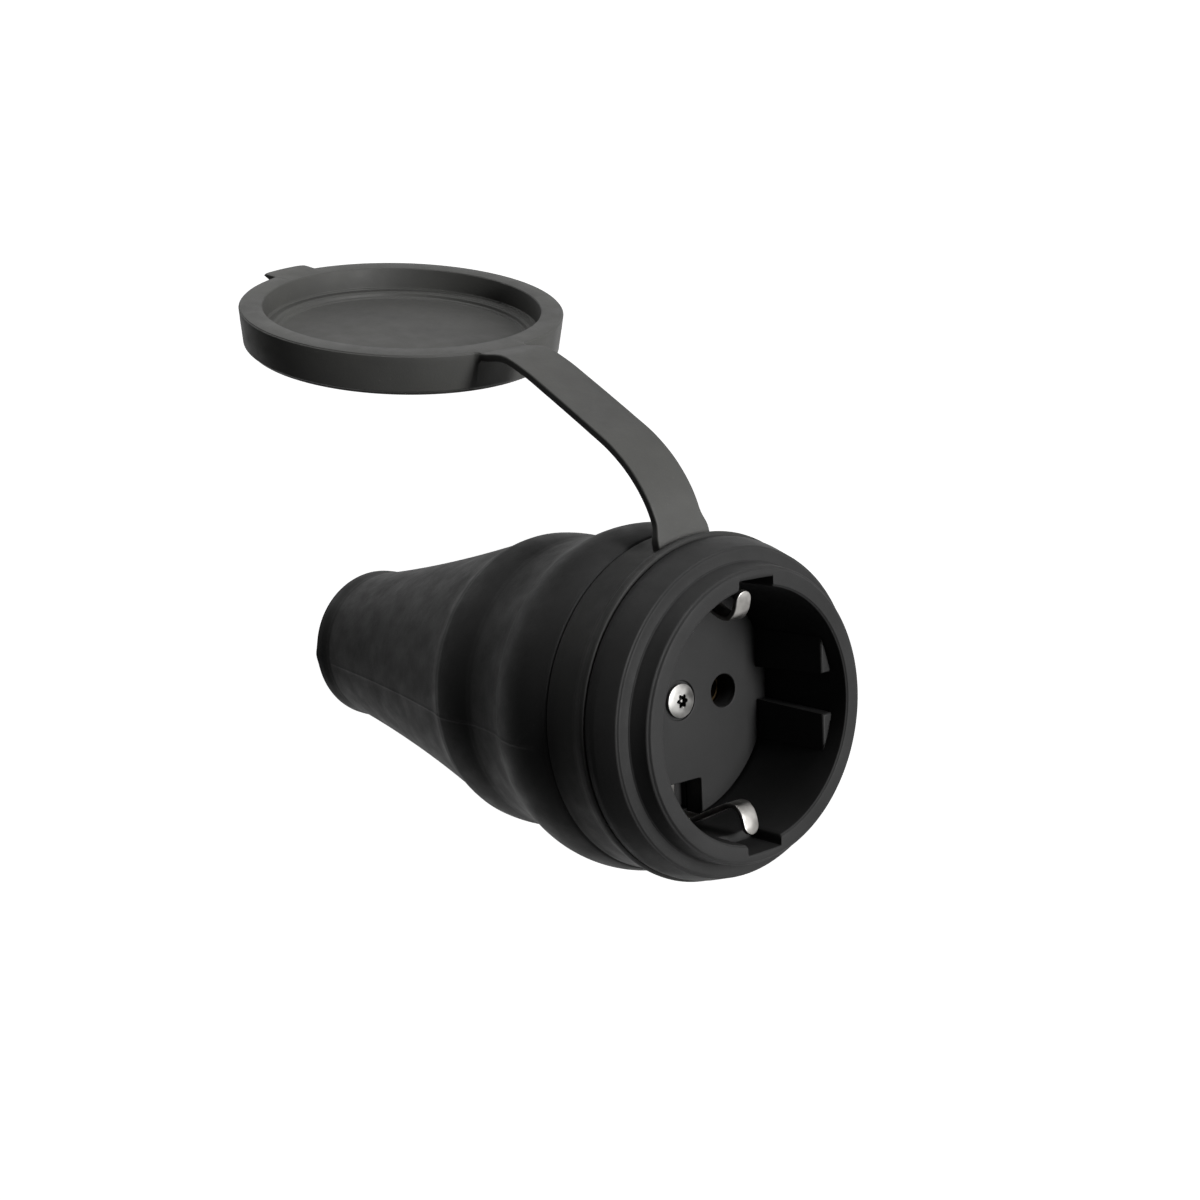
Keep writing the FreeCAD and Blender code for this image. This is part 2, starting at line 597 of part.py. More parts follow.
def make_centre_screw():
    body = new_body("centre_screw")
    seat = d["recess_depth"] + 0.45
    nose = d["recess_depth"] + 0.45 - d["screw_head_height"]
    end = carrier_front() + d["carrier_length"] - 0.2
    head = d["screw_head_radius"]
    profile = sketch_on(body, "XZ_Plane", "screw_profile")
    outline(profile, (-nose, ZERO), [
        ((-(nose + 0.28), head * 0.62), (-(nose + 1.0), head)),
        (-seat, head), (-seat, d["thread_radius"]), (-(end - 0.5), d["thread_radius"]),
        (-end, d["thread_radius"] - 0.5), (-end, ZERO), (-nose, ZERO)])
    revolve(body, profile, "screw_form")
    core = sketch_on(body, "YZ_Plane", "drive_core_outline", -nose + 0.5)
    circle(core, ZERO, ZERO, head * 0.36)
    pocket(body, core, "drive_core", wrap(1.6))
    lobe = sketch_on(body, "YZ_Plane", "drive_lobe_outline", -nose + 0.5)
    circle(lobe, ZERO, head * 0.4, head * 0.13)
    cut = pocket(body, lobe, "drive_lobe", wrap(1.6))
    ring = body.newObject("PartDesign::PolarPattern", "drive_lobes")
    ring.Originals = [cut]
    ring.Axis = (lobe, ["N_Axis"])
    ring.Angle = 360.0
    ring.Occurrences = 6
    body.Tip = ring
    doc.recompute()
    return body


def make_nut():
    body = new_body("centre_nut")
    rear = carrier_front() + d["carrier_length"]
    plate = sketch_on(body, "YZ_Plane", "nut_outline", -(rear - d["nut_height"] + 0.05))
    polygon(plate, hex_points(d["nut_flat"] / 2))
    pad(body, plate, "nut_block", d["nut_height"] - 0.1, back=True)
    bore = sketch_on(body, "YZ_Plane", "nut_bore_outline", -(rear - d["nut_height"]))
    circle(bore, ZERO, ZERO, d["thread_radius"] + 0.04)
    pocket(body, bore, "nut_bore")
    return body


def make_clamp_bar():
    body = new_body("cord_clamp")
    half = d["clamp_length"] / 2
    wide = d["tray_half_width"]
    plate = sketch_on(body, "YZ_Plane", "clamp_outline", -(d["clamp_at"] - half))
    low, high = d["clamp_low"], d["clamp_low"] + d["clamp_height"]
    box_outline(plate, -wide, low, wide, high)
    pad(body, plate, "clamp_plate", d["clamp_length"], back=True)
    ribs = sketch_on(body, "XZ_Plane", "clamp_rib_outline")
    for shift in (-1.5, 1.5):
        middle = -d["clamp_at"] + shift
        polygon(ribs, [(middle - 0.7, low + 0.1), (middle, low - 0.8), (middle + 0.7, low + 0.1)])
    pad(body, ribs, "clamp_ribs", wrap(8.0), middle=True)
    holes = sketch_on(body, "XY_Plane", "clamp_hole_outline", high)
    for side in (1, -1):
        circle(holes, -d["clamp_at"], d["clamp_screw_side"] * side, d["thread_radius"] + 0.25)
    pocket(body, holes, "clamp_holes")
    corners = straight_edges(body.Shape, lambda m, e: abs(abs(m.y) - wide.value) < 0.01 and abs(m.z - high.value) < 0.01)
    soften(body, "Chamfer", "clamp_bevels", corners, wrap(0.5))
    return body


def make_screw_form(name, length, head_radius, head_height):
    """A slotted screw standing on Z with the underside of its head at z = 0."""
    body = new_body(name)
    profile = sketch_on(body, "XZ_Plane", name + "_outline")
    thread = d["thread_radius"]
    polygon(profile, [(-length, ZERO), (-length, thread - 0.4), (-(length - 0.4), thread), (ZERO, thread),
                      (ZERO, head_radius), (head_height - 0.3, head_radius), (head_height, head_radius - 0.3),
                      (head_height, ZERO)])
    revolve(body, profile, name + "_turned")
    slot = sketch_on(body, "YZ_Plane", name + "_slot_outline", head_height)
    box_outline(slot, wrap(-0.35), wrap(-4), wrap(0.35), wrap(4))
    pocket(body, slot, name + "_slot", wrap(0.9))
    return body


def screw_group(name, form, places):
    """Equal screws pointing down, as one node of separate solids."""
    group = doc.addObject("Part::Feature", name)
    group.Label = name
    upright = FreeCAD.Rotation(FreeCAD.Vector(0, 1, 0), -90)
    copies = []
    for place in places:
        copy = form.Shape.copy()
        copy.Placement = FreeCAD.Placement(FreeCAD.Vector(*[part.value for part in place]), upright)
        copies.append(copy)
    group.Shape = Part.makeCompound(copies)
    return group


def make_ring():
    body = new_body("strap_ring")
    inner = d["groove_radius"] + 0.05
    back, front = d["groove_back"] - 0.1, d["groove_front"] + 0.2
    low, lip = d["ring_radius"], d["ring_lip_radius"]
    profile = sketch_on(body, "XZ_Plane", "ring_profile")
    polygon(profile, [(-back, inner), (-back, d["groove_back_radius"] - 0.1), (-(back - 1.4), low), (-(front + 2.2), low),
                      (-(front + 1.0), lip), (-(front + 0.25), lip), (-front, lip - 0.3), (-front, inner)])
    revolve(body, profile, "ring_form")
    root_block = sketch_on(body, "XZ_Plane", "strap_root_outline")
    low_z = d["ring_radius"] - 0.6
    back_x, back_z = back_point(0)
    polygon(root_block, [(d["pivot_x0"], low_z), (d["pivot_x0"], d["pivot_z0"]), (back_x, back_z), (back_x, low_z)])
    pad(body, root_block, "strap_root", d["strap_width"], middle=True)
    return body


def back_point(number):
    """The back face of the strap behind one hinge."""
    lean = d[f"pivot_lean{number}"]
    thick = d["strap_thickness"]
    return d[f"pivot_x{number}"] + thick * cosine(lean), d[f"pivot_z{number}"] + thick * sine(lean)


def make_link(number):
    """One stretch of the strap between two hinge points."""
    body = new_body(f"strap_link_{number}")
    section = sketch_on(body, "XZ_Plane", f"link_{number}_section")
    polygon(section, [(d[f"pivot_x{number - 1}"], d[f"pivot_z{number - 1}"]), (d[f"pivot_x{number}"], d[f"pivot_z{number}"]),
                      back_point(number), back_point(number - 1)])
    pad(body, section, f"link_{number}_strip", d["strap_width"], middle=True)
    return body


def make_cap():
    """The cover in its own frame: its rim lies in the YZ plane and opens to +X."""
    body = new_body("cap")
    rim, base, tall = d["cap_radius"], d["cap_base_radius"], d["cap_height"]
    profile = sketch_on(body, "XZ_Plane", "cap_profile")
    polygon(profile, [(-tall, ZERO), (-tall, base), (ZERO, rim), (ZERO, d["cap_bore"]), (-d["cap_step_depth"], d["cap_bore"]),
                      (-d["cap_step_depth"], d["cap_step_radius"]), (-d["cap_depth"], d["cap_step_radius"]),
                      (-d["cap_depth"], ZERO)])
    revolve(body, profile, "cap_form")
    soften(body, "Fillet", "cap_base_rounding", ring_edges(body.Shape, -tall.value, base.value), d["cap_base_round"])
    soften(body, "Fillet", "cap_mouth_rounding", ring_edges(body.Shape, 0.0, d["cap_bore"].value), d["cap_mouth_round"])
    tab = sketch_on(body, "YZ_Plane", "tab_outline")
    half = d["tab_width"] / 2
    turn = d["tab_angle"]
    corners = []
    for across, out in ((-half, rim - 1.5), (-half, rim + d["tab_reach"] - 1.2), (-half + 1.2, rim + d["tab_reach"]),
                        (half - 1.2, rim + d["tab_reach"]), (half, rim + d["tab_reach"] - 1.2), (half, rim - 1.5)):
        corners.append((across * cosine(turn) - out * sine(turn), across * sine(turn) + out * cosine(turn)))
    polygon(tab, corners)
    pad(body, tab, "pull_tab", d["tab_thickness"], back=True)
    ends = sketch_on(body, "YZ_Plane", "strap_end_outline")
    reach = root((d["pivot_x9"] - d["cap_rim_x"]) * (d["pivot_x9"] - d["cap_rim_x"]))
    box_outline(ends, -(d["strap_width"] / 2), -(rim + reach), d["strap_width"] / 2, -(rim - 1.5))
    pad(body, ends, "strap_end", d["strap_thickness"], back=True)
    return body


housing = make_housing()
insert = make_insert()
carrier = make_carrier()
live = make_sleeve("contact_near", -1)
neutral = make_sleeve("contact_far", 1)
strip = make_earth_strip()
earth = make_earth_terminal()
centre_screw = make_centre_screw()
nut = make_nut()
clamp = make_clamp_bar()
terminal_form = make_screw_form("terminal_screw_form", wrap(3.4), wrap(2.5), wrap(1.9))
clamp_form = make_screw_form("clamp_screw_form", wrap(9.0), wrap(2.6), wrap(1.8))
rear = carrier_front() + d["carrier_length"] + 0.2 + d["block_length"] * 0.55
earth_at = carrier_front() + d["strip_thickness"] + d["block_length"] * 0.55
block_top = d["tray_top"] + d["block_width"]
terminal_screws = screw_group("terminal_screws", terminal_form, [
    (-rear, -(d["pin_spacing"] / 2), block_top), (-rear, d["pin_spacing"] / 2, block_top),
    (-earth_at, ZERO, d["earth_low"] + d["block_width"])])
clamp_top = d["clamp_low"] + d["clamp_height"]
clamp_screws = screw_group("clamp_screws", clamp_form, [
    (-d["clamp_at"], -d["clamp_screw_side"], clamp_top), (-d["clamp_at"], d["clamp_screw_side"], clamp_top)])
ring = make_ring()
links = [make_link(number) for number in range(1, 10)]
cap = make_cap()
doc.recompute()

fixed = [housing, insert, carrier, live, neutral, strip, earth, centre_screw, nut, clamp, terminal_screws, clamp_screws]
strapped = [ring] + links


def tilted(angle):
    """Lays the plug axis near the floor: pins upright, mouth raised by an angle in degrees."""
    turn = math.radians(angle)
    along = FreeCAD.Vector(math.cos(turn), 0, math.sin(turn))
    pins = FreeCAD.Vector(math.sin(turn), 0, -math.cos(turn))
    return FreeCAD.Rotation(along, pins, FreeCAD.Vector(0, 1, 0), "XYZ")


def housing_outline():
    """Points of the housing's outer shape as distance along the axis and radius."""
    flat = housing.Shape.section(Part.makePlane(400, 200, FreeCAD.Vector(-200, 0, 0), FreeCAD.Vector(0, 1, 0),
                                                FreeCAD.Vector(1, 0, 0)))
    points = []
    for edge in flat.Edges:
        points += [(point.x, math.hypot(point.y, point.z)) for point in edge.discretize(60)]
    return points


def floor_reach(points, angle):
    turn = math.radians(angle)
    return max(radius * math.cos(turn) - along * math.sin(turn) for along, radius in points)


def rest_angle(points):
    """Tilt at which the tail bead and the front part of the housing touch the floor together."""
    tail = [point for point in points if point[0] < -d["sleeve_mid_at"].value]
    front = [point for point in points if point[0] > -d["valley_at"].value]
    low, high = 0.0, 30.0
    for _ in range(50):
        middle = (low + high) / 2
        if floor_reach(front, middle) > floor_reach(tail, middle):
            low = middle
        else:
            high = middle
    return low


def cap_place():
    """The open cover in the strap's plane."""
    tilt = math.radians(d["cap_tilt"].value)
    away = FreeCAD.Vector(-math.cos(tilt), 0, math.sin(tilt))
    opening = FreeCAD.Vector(math.sin(tilt), 0, math.cos(tilt))
    centre = FreeCAD.Vector(d["cap_rim_x"].value, 0, d["cap_rim_z"].value) + away * d["cap_radius"].value
    return FreeCAD.Placement(centre, FreeCAD.Rotation(opening, FreeCAD.Vector(0, 1, 0), away, "XYZ"))


def lowest(shape, placement):
    copy = shape.copy()
    copy.Placement = placement
    return copy.optimalBoundingBox(True, False).ZMin


def strap_roll(rotation, floor):
    """Roll of the strap about the plug axis at which the cover's edge just touches the floor."""
    low, high = -4.0, 25.0
    for _ in range(28):
        middle = (low + high) / 2
        roll = FreeCAD.Placement(FreeCAD.Vector(), rotation * FreeCAD.Rotation(FreeCAD.Vector(1, 0, 0), middle))
        if lowest(cap.Shape, roll * cap_place()) < floor:
            low = middle
        else:
            high = middle
    return high


def place_at(shift, rotation, roll):
    """Puts every piece in its place, moved by one shift."""
    base = FreeCAD.Placement(shift, rotation)
    strap_base = FreeCAD.Placement(shift, rotation * FreeCAD.Rotation(FreeCAD.Vector(1, 0, 0), roll))
    for item in fixed:
        item.Placement = base
    for item in strapped:
        item.Placement = strap_base
    cap.Placement = strap_base * cap_place()
    doc.recompute()
    return base, strap_base


def to_middle():
    """The shift that puts the middle of the whole part's base at the origin."""
    boxes = [item.Shape.optimalBoundingBox(True, False) for item in fixed + strapped + [cap]]
    middle_x = (min(box.XMin for box in boxes) + max(box.XMax for box in boxes)) / 2
    middle_y = (min(box.YMin for box in boxes) + max(box.YMax for box in boxes)) / 2
    return FreeCAD.Vector(-middle_x, -middle_y, -min(box.ZMin for box in boxes))


def set_places():
    profile = housing_outline()
    angle = rest_angle(profile)
    rotation = tilted(angle)
    roll = strap_roll(rotation, -floor_reach(profile, angle))
    place_at(FreeCAD.Vector(), rotation, roll)
    print("tilt", round(angle, 4), "strap roll", round(roll, 4))
    return place_at(to_middle(), rotation, roll)


def check_all():
    for item in doc.Objects:
        if "Invalid" in item.State or "Error" in item.State:
            raise RuntimeError(item.Name + " has an error")
    for item in fixed + strapped + [cap]:
        solids = item.Shape.Solids
        expected = {"terminal_screws": 3, "clamp_screws": 2}.get(item.Label, 1)
        if item.Shape.isNull() or not item.Shape.isValid() or len(solids) != expected:
            raise RuntimeError(item.Label + f" has {len(solids)} solids")


def show(name, point):
    print(name, [round(part, 3) for part in point])


def report(base, strap_base):
    show("mouth", base.multVec(FreeCAD.Vector()))
    show("plug axis", base.Rotation.multVec(FreeCAD.Vector(1, 0, 0)))
    show("pin axis", base.Rotation.multVec(FreeCAD.Vector(0, 1, 0)))
    show("hinge axis", strap_base.Rotation.multVec(FreeCAD.Vector(0, 1, 0)))
    for number in range(10):
        pivot = FreeCAD.Vector(d[f"pivot_x{number}"].value, 0, d[f"pivot_z{number}"].value)
        show(f"hinge {number}", strap_base.multVec(pivot))
    volume = {item.Label: item.Shape.Volume / 1000 for item in fixed + strapped + [cap]}
    for name, size in volume.items():
        print(name, "cm3", round(size, 3))


base, strap_base = set_places()
check_all()
report(base, strap_base)
for item in fixed + strapped + [cap]:
    item.Shape.exportStep("parts/" + item.Label + ".step")
    print("wrote", item.Label)
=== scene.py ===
import json
import math

import bmesh
import bpy
from mathutils import Matrix, Vector, noise

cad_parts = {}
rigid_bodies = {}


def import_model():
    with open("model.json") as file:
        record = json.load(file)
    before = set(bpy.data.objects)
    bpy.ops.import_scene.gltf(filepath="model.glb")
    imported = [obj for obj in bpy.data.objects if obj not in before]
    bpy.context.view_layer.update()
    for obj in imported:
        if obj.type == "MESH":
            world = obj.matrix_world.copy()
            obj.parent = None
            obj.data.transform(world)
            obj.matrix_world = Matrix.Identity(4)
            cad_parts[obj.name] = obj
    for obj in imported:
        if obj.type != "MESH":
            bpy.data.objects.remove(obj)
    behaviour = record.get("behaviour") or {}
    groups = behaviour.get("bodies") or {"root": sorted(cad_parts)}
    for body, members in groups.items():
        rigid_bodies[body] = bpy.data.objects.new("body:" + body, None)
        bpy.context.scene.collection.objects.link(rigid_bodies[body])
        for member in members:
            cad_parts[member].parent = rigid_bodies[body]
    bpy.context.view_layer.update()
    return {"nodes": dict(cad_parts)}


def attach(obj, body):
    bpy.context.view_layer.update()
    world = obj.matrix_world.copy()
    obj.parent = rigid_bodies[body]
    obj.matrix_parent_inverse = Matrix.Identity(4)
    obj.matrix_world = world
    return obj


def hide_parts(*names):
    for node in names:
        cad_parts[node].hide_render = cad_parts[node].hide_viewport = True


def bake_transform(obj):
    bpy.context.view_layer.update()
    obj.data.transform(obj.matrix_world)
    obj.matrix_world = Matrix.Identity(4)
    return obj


for leftover in list(bpy.data.objects):
    bpy.data.objects.remove(leftover)

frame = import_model()
print("frame loaded")

# how the socket lies: pins upright, clips level, mouth raised by the tilt
stance = {
    "mouth": (51.919, -23.127, 32.651),  # middle of the recess mouth, mm
    "tilt": 9.5854,  # of the plug axis above the floor, degrees
    "strapRoll": 7.4946,  # of the strap and cover about the plug axis
    "coverTilt": 17.8,  # slope of the open cover's rim in the strap's plane
    "coverRim": (-49.0, 56.7),  # strap side of that rim: along the axis, above it
    "coverRadius": 28.3,
}


def columnsMatrix(xAxis, yAxis, zAxis, origin):
    return Matrix((
        (xAxis.x, yAxis.x, zAxis.x, origin.x),
        (xAxis.y, yAxis.y, zAxis.y, origin.y),
        (xAxis.z, yAxis.z, zAxis.z, origin.z),
        (0, 0, 0, 1),
    ))


def makeFrames():
    tilt = math.radians(stance["tilt"])
    along = Vector((math.cos(tilt), 0, math.sin(tilt)))
    pins = Vector((math.sin(tilt), 0, -math.cos(tilt)))
    scale = Matrix.Scale(0.001, 4)  # drawn in mm, placed in metres
    plug = scale @ columnsMatrix(along, pins, Vector((0, 1, 0)), Vector(stance["mouth"]))
    strap = plug @ Matrix.Rotation(math.radians(stance["strapRoll"]), 4, "X")
    slope = math.radians(stance["coverTilt"])
    away = Vector((-math.cos(slope), 0, math.sin(slope)))
    opening = Vector((math.sin(slope), 0, math.cos(slope)))
    rim = Vector((stance["coverRim"][0], 0, stance["coverRim"][1]))
    middle = rim + away * stance["coverRadius"]
    cover = strap @ columnsMatrix(opening, Vector((0, 1, 0)), away, middle)
    return plug, strap, cover


plugFrame, strapFrame, coverFrame = makeFrames()


def smoothStep(value, low, high):
    part = min(1.0, max(0.0, (value - low) / (high - low)))
    return part * part * (3 - 2 * part)


def arcPoints(start, through, end, count):
    # points of the arc after its start, its end included
    ax, ay = start
    bx, by = through
    cx, cy = end
    a2, b2, c2 = ax * ax + ay * ay, bx * bx + by * by, cx * cx + cy * cy
    det = 2 * (ax * (by - cy) + bx * (cy - ay) + cx * (ay - by))
    ux = (a2 * (by - cy) + b2 * (cy - ay) + c2 * (ay - by)) / det
    uy = (a2 * (cx - bx) + b2 * (ax - cx) + c2 * (bx - ax)) / det
    radius = math.hypot(ax - ux, ay - uy)
    first = math.atan2(ay - uy, ax - ux)
    middle = math.atan2(by - uy, bx - ux)
    last = math.atan2(cy - uy, cx - ux)
    sweep = (last - first) % math.tau
    if (middle - first) % math.tau > sweep:
        sweep -= math.tau
    turns = [first + sweep * k / count for k in range(1, count + 1)]
    return [(ux + radius * math.cos(turn), uy + radius * math.sin(turn)) for turn in turns]


def softLoop(corners, step=0.08, slack=0.004, closed=True):
    # a line through corners (x, y, softness), each rounded over that length
    samples, windows = [], []
    count = len(corners)
    for k in range(count if closed else count - 1):
        a, b = corners[k], corners[(k + 1) % count]
        length = math.hypot(b[0] - a[0], b[1] - a[1])
        pieces = max(1, math.ceil(length / step))
        for j in range(pieces):
            part = j / pieces
            samples.append((a[0] + (b[0] - a[0]) * part, a[1] + (b[1] - a[1]) * part))
            windows.append(max(0.0, a[2] - length * part, b[2] - length * (1 - part)))
    if not closed:
        samples.append(corners[-1][:2])
        windows.append(0.0)
    total = len(samples)
    rounded = []
    for k in range(total):
        reach = int(windows[k] / step + 0.5)
        if not closed:
            reach = min(reach, k, total - 1 - k)
        xs = ys = 0.0
        for j in range(-reach, reach + 1):
            x, y = samples[(k + j) % total]
            xs += x
            ys += y
        rounded.append((xs / (2 * reach + 1), ys / (2 * reach + 1)))
    return thinned(rounded, slack, closed)


def thinned(points, slack, closed, longest=4.0):
    # keeps the points that the shape needs to stay within the slack, and no row too long
    keep = [0]
    anchor = 0
    total = len(points)
    for k in range(1, total):
        ax, ay = points[anchor]
        bx, by = points[(k + 1) % total] if k + 1 < total or closed else points[k]
        length = math.hypot(bx - ax, by - ay) or 1e-9
        worst = 0.0
        for px, py in points[anchor + 1:k + 1]:
            worst = max(worst, abs((bx - ax) * (py - ay) - (by - ay) * (px - ax)) / length)
        if worst > slack or length > longest:
            keep.append(k)
            anchor = k
    if not closed and keep[-1] != total - 1:
        keep.append(total - 1)
    return [points[k] for k in keep]


def roundColumns(count, extra=()):
    # angles round the axis, evenly spaced but for the extra ones
    even = [360.0 * k / count for k in range(count)]
    wanted = sorted(angle % 360.0 for angle in extra)
    near = 180.0 / count * 0.7
    kept = [angle for angle in even
            if all(min(abs(angle - w), 360 - abs(angle - w)) > near for w in wanted)]
    return sorted(kept + wanted)


def addPiece(name, mesh):
    piece = bpy.data.objects.new(name, mesh)
    bpy.context.collection.objects.link(piece)
    return piece


def buildMesh(name, vertices, faces, place, material):
    mesh = bpy.data.meshes.new(name)
    mesh.from_pydata([tuple(place @ Vector(v)) for v in vertices], [], faces)
    mesh.validate()
    piece = addPiece(name, mesh)
    tidyMesh(piece)
    mesh.materials.append(material)
    return piece


def tidyMesh(piece, sharpAngle=None):
    form = bmesh.new()
    form.from_mesh(piece.data)
    bmesh.ops.remove_doubles(form, verts=form.verts, dist=1e-8)
    bmesh.ops.recalc_face_normals(form, faces=form.faces)
    form.to_mesh(piece.data)
    form.free()
    for face in piece.data.polygons:
        face.use_smooth = True
    if sharpAngle is not None:
        piece.data.set_sharp_from_angle(angle=math.radians(sharpAngle))


def levelNormals(piece):
    # flat faces stay flat to the eye up to their rounded edges
    step = piece.modifiers.new("levelNormals", "WEIGHTED_NORMAL")
    step.keep_sharp = True


def turnedMesh(name, loop, angles, place, material, shape, closed=True):
    # a section turned about the plug axis; an open one ends on the axis
    vertices, faces = [], []
    rows = len(loop)
    columns = len(angles)
    for angle in angles:
        turn = math.radians(angle)
        for x, r in loop:
            x, r = shape(x, r, angle)
            vertices.append((x, r * math.cos(turn), r * math.sin(turn)))
    for c in range(columns):
        here, after = c * rows, (c + 1) % columns * rows
        for k in range(rows if closed else rows - 1):
            nextRow = (k + 1) % rows
            faces.append((here + k, here + nextRow, after + nextRow, after + k))
    return buildMesh(name, vertices, faces, place, material)


def sweptMesh(name, rings, place, material):
    # rings of points in order, joined side by side and capped at both ends
    vertices = [point for ring in rings for point in ring]
    size = len(rings[0])
    faces = []
    for s in range(len(rings) - 1):
        here, after = s * size, (s + 1) * size
        for k in range(size):
            side = (k + 1) % size
            faces.append((here + k, here + side, after + side, after + k))
    faces.append(tuple(range(size)))
    faces.append(tuple((len(rings) - 1) * size + k for k in range(size)))
    return buildMesh(name, vertices, faces, place, material)


def roundedSection(width, height, radius, steps=4):
    # corner points of a rounded rectangle about its middle
    points = []
    radius = min(radius, width / 2 - 1e-4, height / 2 - 1e-4)
    for sideX, sideY, start in ((1, 1, 0), (-1, 1, 90), (-1, -1, 180), (1, -1, 270)):
        for k in range(steps + 1):
            turn = math.radians(start + 90 * k / steps)
            points.append((sideX * (width / 2 - radius) + radius * math.cos(turn),
                           sideY * (height / 2 - radius) + radius * math.sin(turn)))
    return points


def linear(hexColour):
    channels = [int(hexColour[k:k + 2], 16) / 255 for k in (1, 3, 5)]
    return tuple(c / 12.92 if c <= 0.04045 else ((c + 0.055) / 1.055) ** 2.4
                 for c in channels) + (1.0,)


def addNode(tree, kind, settings=None, links=None):
    # one node with its settings (attributes or input values) and links (input: output socket)
    node = tree.nodes.new(kind)
    for key, value in (settings or {}).items():
        if isinstance(key, str) and hasattr(node, key):
            setattr(node, key, value)
        else:
            node.inputs[key].default_value = value
    for key, socket in (links or {}).items():
        tree.links.new(socket, node.inputs[key])
    return node


def newMaterial(name):
    material = bpy.data.materials.new(name)
    material.use_nodes = True
    tree = material.node_tree
    tree.nodes.clear()
    coords = addNode(tree, "ShaderNodeTexCoord")
    return material, tree, coords.outputs["Object"]


def finishMaterial(tree, settings, links):
    shader = addNode(tree, "ShaderNodeBsdfPrincipled", settings, links)
    addNode(tree, "ShaderNodeOutputMaterial", links={"Surface": shader.outputs["BSDF"]})


def toneBetween(tree, source, stops):
    # a colour ramp with stops of (position, hex colour)
    node = addNode(tree, "ShaderNodeValToRGB", links={"Fac": source.outputs["Fac"]})
    for element, (position, colour) in zip(node.color_ramp.elements, stops):
        element.position = position
        element.color = linear(colour)
    return node.outputs["Color"]


# vulcanised rubber from a spark-eroded mould: dark, fine-grained, dull, a little worn and dusty
rubberLooks = {
    "housing": {"dark": "#171717", "light": "#1d1d1d", "dust": "#2c2b2a",
                "roughness": (0.53, 0.67), "grain": 0.45, "specular": 0.11},
    "cover": {"dark": "#292928", "light": "#2f2f2d", "dust": "#3e3d39",
              "roughness": (0.54, 0.68), "grain": 0.40, "specular": 0.22},
    # the ring is moulded in one with the strap and the cover; its darker tone than theirs is
    # painted shade
    "ring": {"dark": "#1b1b1b", "light": "#20201f", "dust": "#2e2d2b",
             "roughness": (0.54, 0.68), "grain": 0.40, "specular": 0.13},
}
# sizes of its marks in mm; the grain is drawn coarser than the real one, so that it shows
rubberMarks = {"patch": 14.0, "speck": 1.6, "dustPatch": 6.0, "sheen": 4.0,
               "swell": 9.0, "swellDepth": 0.08, "grainDepth": 0.04}


def vulcanisedRubber(name, looks):
    m = rubberMarks
    material, tree, place = newMaterial(name)
    patch = addNode(tree, "ShaderNodeTexNoise",
                    {"Scale": 1000 / m["patch"], "Detail": 5.0, "Roughness": 0.55},
                    {"Vector": place})
    tone = toneBetween(tree, patch, [(0.32, looks["dark"]), (0.72, looks["light"])])
    speck = addNode(tree, "ShaderNodeTexVoronoi",
                    {"Scale": 1000 / m["speck"], "Randomness": 1.0}, {"Vector": place})
    speckMask = addNode(tree, "ShaderNodeMapRange",
                        {"From Min": 0.05, "From Max": 0.16, "To Min": 1.0, "To Max": 0.0},
                        {"Value": speck.outputs["Distance"]})
    dustPatch = addNode(tree, "ShaderNodeTexNoise",
                        {"Scale": 1000 / m["dustPatch"], "Detail": 3.0}, {"Vector": place})
    dustMask = addNode(tree, "ShaderNodeMapRange",
                       {"From Min": 0.56, "From Max": 0.70, "To Min": 0.0, "To Max": 0.55},
                       {"Value": dustPatch.outputs["Fac"]})
    dusty = addNode(tree, "ShaderNodeMath", {"operation": "MULTIPLY"},
                    {0: speckMask.outputs["Result"], 1: dustMask.outputs["Result"]})
    # inputs 6 and 7 of the mix node are its two colours
    mixed = addNode(tree, "ShaderNodeMix", {"data_type": "RGBA", 7: linear(looks["dust"])},
                    {0: dusty.outputs["Value"], 6: tone})
    low, high = looks["roughness"]
    sheen = addNode(tree, "ShaderNodeTexNoise",
                    {"Scale": 1000 / m["sheen"], "Detail": 6.0, "Roughness": 0.6},
                    {"Vector": place})
    rough = addNode(tree, "ShaderNodeMapRange",
                    {"From Min": 0.3, "From Max": 0.7, "To Min": low, "To Max": high},
                    {"Value": sheen.outputs["Fac"]})
    grain = addNode(tree, "ShaderNodeTexNoise",
                    {"Scale": 1000 / looks["grain"], "Detail": 4.0, "Roughness": 0.65},
                    {"Vector": place})
    swell = addNode(tree, "ShaderNodeTexNoise",
                    {"Scale": 1000 / m["swell"], "Detail": 2.0}, {"Vector": place})
    coarse = addNode(tree, "ShaderNodeBump", {"Strength": 0.3, "Distance": m["swellDepth"] / 1000},
                     {"Height": swell.outputs["Fac"]})
    fine = addNode(tree, "ShaderNodeBump", {"Strength": 0.6, "Distance": m["grainDepth"] / 1000},
                   {"Height": grain.outputs["Fac"], "Normal": coarse.outputs["Normal"]})
    finishMaterial(
        tree, {"IOR": 1.52, "Metallic": 0.0, "Specular IOR Level": looks["specular"]},
        {"Base Color": mixed.outputs[2], "Roughness": rough.outputs["Result"],
         "Normal": fine.outputs["Normal"]})
    return material


plasticMarks = {"patch": 10.0, "haze": 3.0, "fleck": 0.5, "fleckDepth": 0.04}  # mm


